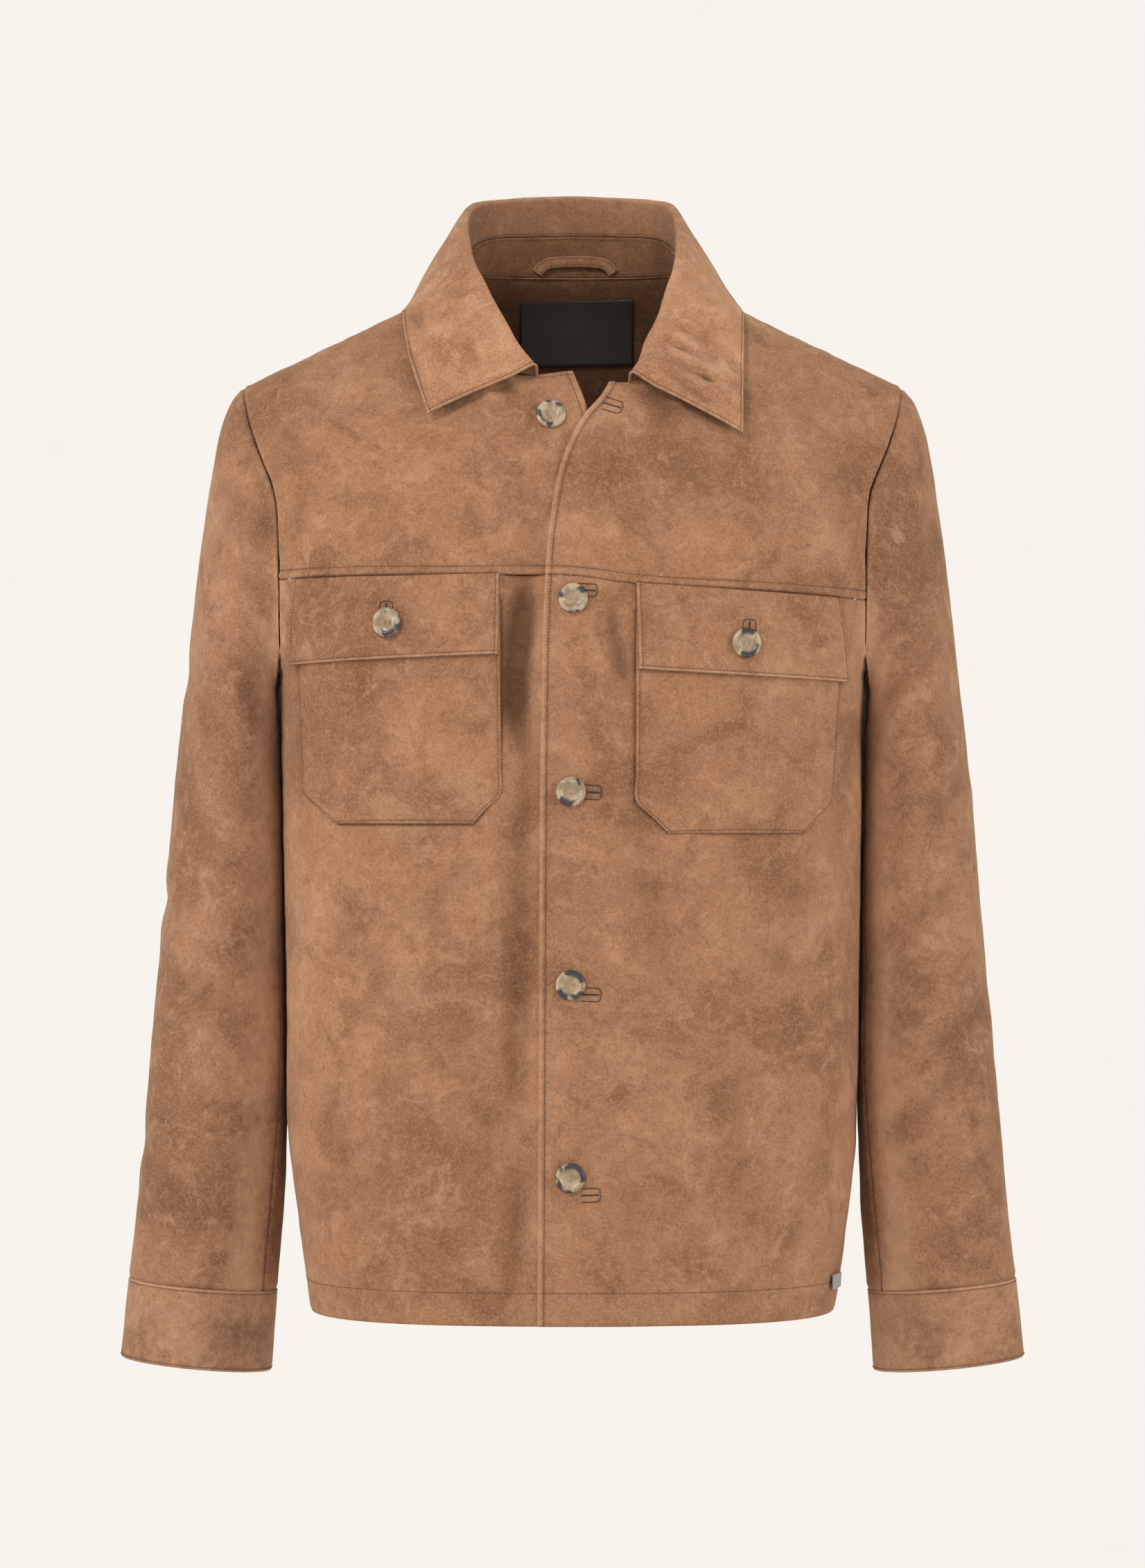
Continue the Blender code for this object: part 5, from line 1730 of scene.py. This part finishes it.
def pockets():
    """The two chest pockets and their flaps; returns the flaps."""
    made = {}
    three_rows = [(edge, NARROW_ROW) for edge in THREE_SIDES]
    for side, (word, (pocket, flap)) in zip((-1, 1), POCKETS.items()):
        item = Cloth(refine(pocket_grid(side, pocket, 20), 8, 4))
        inner = np.minimum.reduce([item.far[edge] for edge in THREE_SIDES])
        item.raise_by((POCKET_EDGE - POCKET_OFFSET) * np.exp(-inner / POCKET_SWELL))
        item.soften(0.6, 0.35, 81 + side)
        contact_shade(item, [(flap_outline(flap), *FLAP_SHADE)])
        item.finish_edges({edge: "narrow" for edge in THREE_SIDES})
        shell("pocket_" + word, item, LEATHER, SKINS, even=False)
        stitch("pocket_" + word, item, three_rows)
        place = above(lambda x, z: panel_point(side, x, z), FLAP_OFFSET)
        item = Cloth(refine(patch_grid(flap, place, 12, 24), 5, 4))
        item.raise_by(hump(item.far["top"], FLAP_TOP - FLAP_OFFSET, 0.0, FLAP_SWELL))
        item.soften(0.5, 0.3, 91 + side)
        item.crease(FLAP_CREASES)
        item.finish_edges({edge: "thick" for edge in THREE_SIDES})
        item.wear_and_painted_light += 0.12
        shell("flap_" + word, item, FLAP_LEATHER, SKINS)
        stitch("flap_" + word, item, three_rows)
        made["flap_" + word] = item
    return made


# ---------------------------------------------------------------- buttons

BUTTON_PROFILE = (
    # radius share, height share
    (0.0, 0.50), (0.30, 0.52), (0.50, 0.62), (0.60, 0.76), (0.68, 0.94), (0.76, 1.0),
    (0.86, 0.98), (0.94, 0.86), (0.985, 0.66), (1.0, 0.46), (0.985, 0.28), (0.93, 0.12),
    (0.80, 0.02), (0.5, 0.0), (0.0, 0.0),
)
BUTTON_SIDES = 56
HOLE_OFFSET = 1.65
HOLE_RADIUS = 1.05
THREAD_RADIUS = 0.26
THREAD_LEVEL = BUTTON_THICKNESS * 0.54
THREAD_LOOP = (
    # place as a share of the holes' offset, height
    (-0.96, -0.3),
    (-0.88, THREAD_LEVEL - 0.1),
    (-0.62, THREAD_LEVEL + 0.34),
    (0.0, THREAD_LEVEL + 0.46),
    (0.62, THREAD_LEVEL + 0.34),
    (0.88, THREAD_LEVEL - 0.1),
    (0.96, -0.3),
)
SHANK_RADIUS = 3.4       # the wound thread behind a button
SHANK_ENDS = ((0.0, 0.0, -0.35), (0.0, 0.0, -0.05))
BUTTON_TURNS = (
    # degrees turned, shift of the horn's patches
    (38.0, (0.2, 0.1, 0.0)),
    (3.0, (1.7, 0.4, 0.1)),
    (88.0, (2.3, 1.1, 0.2)),
    (6.0, (3.1, 0.7, 0.3)),
    (90.0, (4.4, 0.2, 0.4)),
    (2.0, (5.2, 1.5, 0.5)),
    (10.0, (6.3, 0.9, 0.6)),
)


def button_blank():
    """A turned button without its holes: the profile swept round."""
    data = np.array(BUTTON_PROFILE)
    rows = [(a * (1 - t) + b * t) for a, b in zip(data, data[1:]) for t in (0.0, 0.5)][1:]
    verts = [(0, 0, BUTTON_PROFILE[0][1] * BUTTON_THICKNESS * MM), (0, 0, 0)]
    for radius, height in rows:
        for k in range(BUTTON_SIDES):
            turn = 2 * math.pi * k / BUTTON_SIDES
            verts.append((radius * BUTTON_RADIUS * MM * math.cos(turn),
                          radius * BUTTON_RADIUS * MM * math.sin(turn),
                          height * BUTTON_THICKNESS * MM))
    faces = grid_faces(len(rows), BUTTON_SIDES, True, True, 2)
    last = 2 + (len(rows) - 1) * BUTTON_SIDES
    for k in range(BUTTON_SIDES):
        m = (k + 1) % BUTTON_SIDES
        faces.append((0, 2 + k, 2 + m))
        faces.append((1, last + m, last + k))
    return new_mesh("button", verts, faces)


def button_mesh():
    """A four-hole button: its holes are drilled through the blank."""
    verts, faces = [], []
    for dx, dy in ((1, 1), (-1, 1), (-1, -1), (1, -1)):
        path = [(dx * HOLE_OFFSET, dy * HOLE_OFFSET, h) for h in (-2.0, BUTTON_THICKNESS + 2.0)]
        tube(verts, faces, path, HOLE_RADIUS, sides=14)
    body = bpy.data.objects.new("button_body", button_blank())
    tool = bpy.data.objects.new("button_drill", new_mesh("drill", verts, faces))
    for obj in (body, tool):
        bpy.context.scene.collection.objects.link(obj)
    cut = body.modifiers.new("holes", "BOOLEAN")
    cut.operation = "DIFFERENCE"
    cut.object = tool
    cut.solver = "EXACT"
    graph = bpy.context.evaluated_depsgraph_get()
    result = bpy.data.meshes.new_from_object(body.evaluated_get(graph))
    for obj in (body, tool):
        bpy.data.objects.remove(obj, do_unlink=True)
    result.shade_smooth()
    return result


def set_on_cloth(name, mesh, slot, spot, spin, *nodes):
    obj = bpy.data.objects.new(name, mesh)
    obj.rotation_mode = "QUATERNION"
    obj.rotation_quaternion = spin
    obj.location = spot
    bpy.context.view_layer.update()
    show(obj, slot, *nodes)


def button_places():
    """Every button's name, place and outward direction."""
    places = []
    for k, (x, z) in enumerate(FRONT_BUTTONS):
        side = -1 if k == 0 else 1
        point, normal = surface_frame(lambda a, b: panel_point(side, a, b), x, z)
        places.append((f"button_{k + 1}", point, normal))
    for side, word, (x, z) in zip((-1, 1), POCKETS, FLAP_BUTTONS):
        point, normal = surface_frame(lambda a, b: panel_point(side, a, b), x, z)
        places.append((f"flap_button_{word}", point + normal * FLAP_OFFSET, normal))
    return places


def buttons():
    base = button_mesh()
    for (name, point, normal), (turn, shift) in zip(button_places(), BUTTON_TURNS):
        axis = Vector(normal)
        spin = axis.to_track_quat("Z", "Y") @ Quaternion((0, 0, 1), math.radians(turn))
        spot = Vector(point * MM) + axis * BUTTON_STANDOFF * MM
        horn = base.copy()
        horn.materials.clear()
        horn.materials.append(horn_material("horn_" + name, shift))
        set_on_cloth("horn_" + name, horn, "horn", spot, spin, name)
        verts, faces = [], []
        for dx in (-1, 1):
            path = [(dx * HOLE_OFFSET, y * HOLE_OFFSET, h) for y, h in THREAD_LOOP]
            tube(verts, faces, path, THREAD_RADIUS)
        loops = new_mesh("thread_" + name, verts, faces, PALE_THREAD)
        loops.shade_smooth()
        set_on_cloth("thread_" + name, loops, "suede", spot, spin)
        verts, faces = [], []
        tube(verts, faces, SHANK_ENDS, SHANK_RADIUS, sides=20)
        wound = new_mesh("shank_" + name, verts, faces, DARK_THREAD)
        set_on_cloth("shank_" + name, wound, "suede", spot, spin)


BUTTONHOLE_LIFT = 0.1
BUTTONHOLE_PITCH = 1.4
BUTTONHOLE_THREAD = 0.42
SLIT_RADIUS = 0.5


def buttonhole(name, surface, x, z, turn, length, width):
    """A worked buttonhole: a U of dark stitches round a slit, its closed end at (x, z)."""
    c, s = math.cos(math.radians(turn)), math.sin(math.radians(turn))
    half = width / 2
    outline = [(-length, half), (-2.0, half), (-0.6, half * 0.8), (0.0, half * 0.35),
               (0.0, -half * 0.35), (-0.6, -half * 0.8), (-2.0, -half), (-length, -half)]

    def lay(path, count):
        points, normals = [], []
        for a, b in spread(path, count):
            p, n = seen_at(surface, x + a * c - b * s, z + a * s + b * c)
            points.append(p + n * BUTTONHOLE_LIFT)
            normals.append(n)
        return np.array(points), np.array(normals)
    sewing(name, [lay(outline, 40)], DARK_THREAD, pitch=BUTTONHOLE_PITCH, radius=BUTTONHOLE_THREAD)
    verts, faces = [], []
    # the slit is a dark cord: painted shade standing for the shadowed opening of the cut
    tube(verts, faces, lay([(-length, 0.0), (-1.2, 0.0)], 12)[0], SLIT_RADIUS)
    slit = new_mesh(name + "_slit", verts, faces, DARK_THREAD)
    show(bpy.data.objects.new(name + "_slit", slit), "suede")


def seen_at(surface, x, z):
    """Point and normal of a finished front surface where it is seen at (x, z)."""
    off = (surface.grid[..., 0] - x) ** 2 + (surface.grid[..., 2] - z) ** 2
    order = np.argsort(off, axis=None)[:4]
    weight = 1.0 / (off.reshape(-1)[order] + 0.05)
    weight = (weight / weight.sum())[:, None]
    normal = unit((surface.normals.reshape(-1, 3)[order] * weight).sum(axis=0))
    base = (surface.grid.reshape(-1, 3)[order] * weight).sum(axis=0)
    step = np.array([x - base[0], 0.0, z - base[2]])
    step[1] = -(step[0] * normal[0] + step[2] * normal[2]) / normal[1]
    return base + step, normal


BUTTONHOLES = (
    # name, piece, x, z, turn, length, width
    ("buttonhole_2", "front_lower_right", 16.6, -198.0, -3.0, 13.0, 8.6),
    ("buttonhole_3", "front_lower_right", 19.4, -333.0, -4.0, 13.0, 9.4),
    ("buttonhole_4", "front_lower_right", 19.0, -467.5, -2.0, 13.0, 9.0),
    ("buttonhole_5", "front_lower_right", 18.6, -600.0, 2.0, 13.0, 9.0),
    ("buttonhole_flap_left", "flap_left", -124.6, -204.6, 90.0, 12.0, 8.6),
    ("buttonhole_flap_right", "flap_right", 118.4, -217.0, 88.0, 12.0, 8.6),
    ("buttonhole_1", "front_yoke_right", 33.4, -74.0, -18.0, 13.5, 8.6),
)


# ---------------------------------------------------------------- loop and labels

def trim():
    """The hanger loop and the two bare labels."""
    one, two = loop_grid()
    item = Cloth(refine([one, one * 0.5 + two * 0.5, two], 5, 4), to_front=True)
    item.finish_edges({"top": "loop", "bottom": "loop"})
    shell("hanger_loop", item, LOOP_LEATHER, STAND_SKINS, even=False)
    stitch("hanger_loop", item, [("top", LOOP_ROW), ("bottom", LOOP_ROW)], pitch=1.9)
    label = patch_grid(NECK_LABEL, above(back_place, -LABEL_OFFSET), 8, 16)
    item = Cloth(refine(label, 4, 4), to_front=True)
    item.soften(0.4, 0.2, 95)
    shell("neck_label", item, LABEL_CLOTH, (SATIN, SATIN, SATIN), slot="black_satin")
    rows = [("top", LABEL_ROW), ("bottom", LABEL_ROW)]
    stitch("neck_label", item, rows, DARK_THREAD, "black_satin")
    place = above(front_place, SIDE_LABEL_OFFSET)
    tab = [[place(x, z) for x in SIDE_LABEL_X] for z in np.linspace(*SIDE_LABEL_Z, 4)]
    shell("side_label", Cloth(refine(tab, 4, 4)), LABEL_CLOTH, (TAPE, TAPE, TAPE), slot="grey_tape")


# ---------------------------------------------------------------- picture

PIXEL = 0.00048              # metres of the garment's middle plane in one photo pixel
PHOTO_HEIGHT = 2262
CAMERA_DISTANCE = 3.5
CAMERA_HEIGHT = -0.327
SENSOR = 24.0
FLOOR_Z = -1.05
FLOOR_REACH = 7.0            # the paper reaches this far each way, and sweeps up behind
SWEEP = 1.4
SWEEP_STEPS = 12
WALL_TOP = 7.0
WORLD_STRENGTH = 0.19
LIGHTS = (
    # name, place, aim, size, power, colour
    ("key", (-1.5, -2.5, 2.0), (0.0, 0.0, -0.25), (0.8, 0.8), 45.0, (1.0, 0.97, 0.94)),
    ("left", (-2.6, -1.1, 0.2), (0.0, 0.0, -0.4), (0.9, 1.8), 36.0, (1.0, 0.98, 0.95)),
    ("right", (2.6, -1.2, 0.4), (0.0, 0.0, -0.4), (0.9, 1.8), 39.0, (1.0, 0.98, 0.96)),
    ("front", (0.6, -3.2, 0.6), (0.0, 0.0, -0.4), (1.2, 1.2), 11.0, (1.0, 0.98, 0.96)),
    ("top", (0.0, 0.3, 2.2), (0.0, 0.0, -0.2), (1.6, 1.2), 13.0, (1.0, 0.99, 0.97)),
)


def paper_material():
    """Pale paper that glows evenly, so that no shadow falls on it."""
    mat, tree, shader = new_material("paper")
    place = tree.nodes.new("ShaderNodeTexCoord").outputs["Object"]
    tooth = add_noise(tree, place, 9.0, 2.0)
    colour = mix(tree, ramp(tree, tooth, 0.2, 0.8), rgb(247, 242, 236), rgb(249, 244, 238))
    shader.inputs["Base Color"].default_value = (0.0, 0.0, 0.0, 1.0)
    shader.inputs["Specular IOR Level"].default_value = 0.0
    shader.inputs["Roughness"].default_value = 1.0
    tree.links.new(colour, shader.inputs["Emission Color"])
    shader.inputs["Emission Strength"].default_value = 1.0
    return mat


def backdrop():
    profile = [(-FLOOR_REACH, FLOOR_Z), (FLOOR_REACH - SWEEP, FLOOR_Z)]
    for k in range(1, SWEEP_STEPS + 1):
        turn = math.radians(90 * k / SWEEP_STEPS)
        profile.append((FLOOR_REACH - SWEEP + SWEEP * math.sin(turn),
                        FLOOR_Z + SWEEP - SWEEP * math.cos(turn)))
    profile.append((FLOOR_REACH, WALL_TOP))
    verts = [(x, y, z) for y, z in profile for x in (-FLOOR_REACH, FLOOR_REACH)]
    mesh = new_mesh("backdrop", verts, grid_faces(len(profile), 2), paper_material())
    mesh.shade_smooth()
    floor = bpy.data.objects.new("backdrop", mesh)
    bpy.context.scene.collection.objects.link(floor)


def area_light(name, place, aim, size, power, colour):
    light = bpy.data.lights.new(name, "AREA")
    light.shape = "RECTANGLE"
    light.size, light.size_y = size
    light.energy = power
    light.color = colour
    obj = bpy.data.objects.new(name, light)
    obj.location = place
    obj.rotation_euler = (Vector(aim) - Vector(place)).to_track_quat("-Z", "Y").to_euler()
    bpy.context.scene.collection.objects.link(obj)


def picture():
    world = bpy.data.worlds.new("studio")
    world.use_nodes = True
    ground = world.node_tree.nodes["Background"]
    ground.inputs["Color"].default_value = (1.0, 0.97, 0.94, 1.0)
    ground.inputs["Strength"].default_value = WORLD_STRENGTH
    bpy.context.scene.world = world
    for light in LIGHTS:
        area_light(*light)
    camera = bpy.data.cameras.new("camera")
    camera.sensor_fit = "VERTICAL"
    camera.sensor_height = SENSOR
    camera.lens = SENSOR * CAMERA_DISTANCE / (PHOTO_HEIGHT * PIXEL)
    camera.clip_end = 50.0
    obj = bpy.data.objects.new("camera", camera)
    obj.location = (0.0, -CAMERA_DISTANCE, CAMERA_HEIGHT)
    obj.rotation_euler = (math.radians(90), 0.0, 0.0)
    bpy.context.scene.collection.objects.link(obj)
    bpy.context.scene.camera = obj
    bpy.context.scene.view_settings.view_transform = "Standard"


def main():
    made = fronts()
    back = back_piece()
    sleeves()
    collar_pieces([made["front_yoke_left"], made["front_yoke_right"], back])
    made.update(pockets())
    buttons()
    for name, piece, *place in BUTTONHOLES:
        buttonhole(name, made[piece], *place)
    trim()
    backdrop()
    picture()


main()
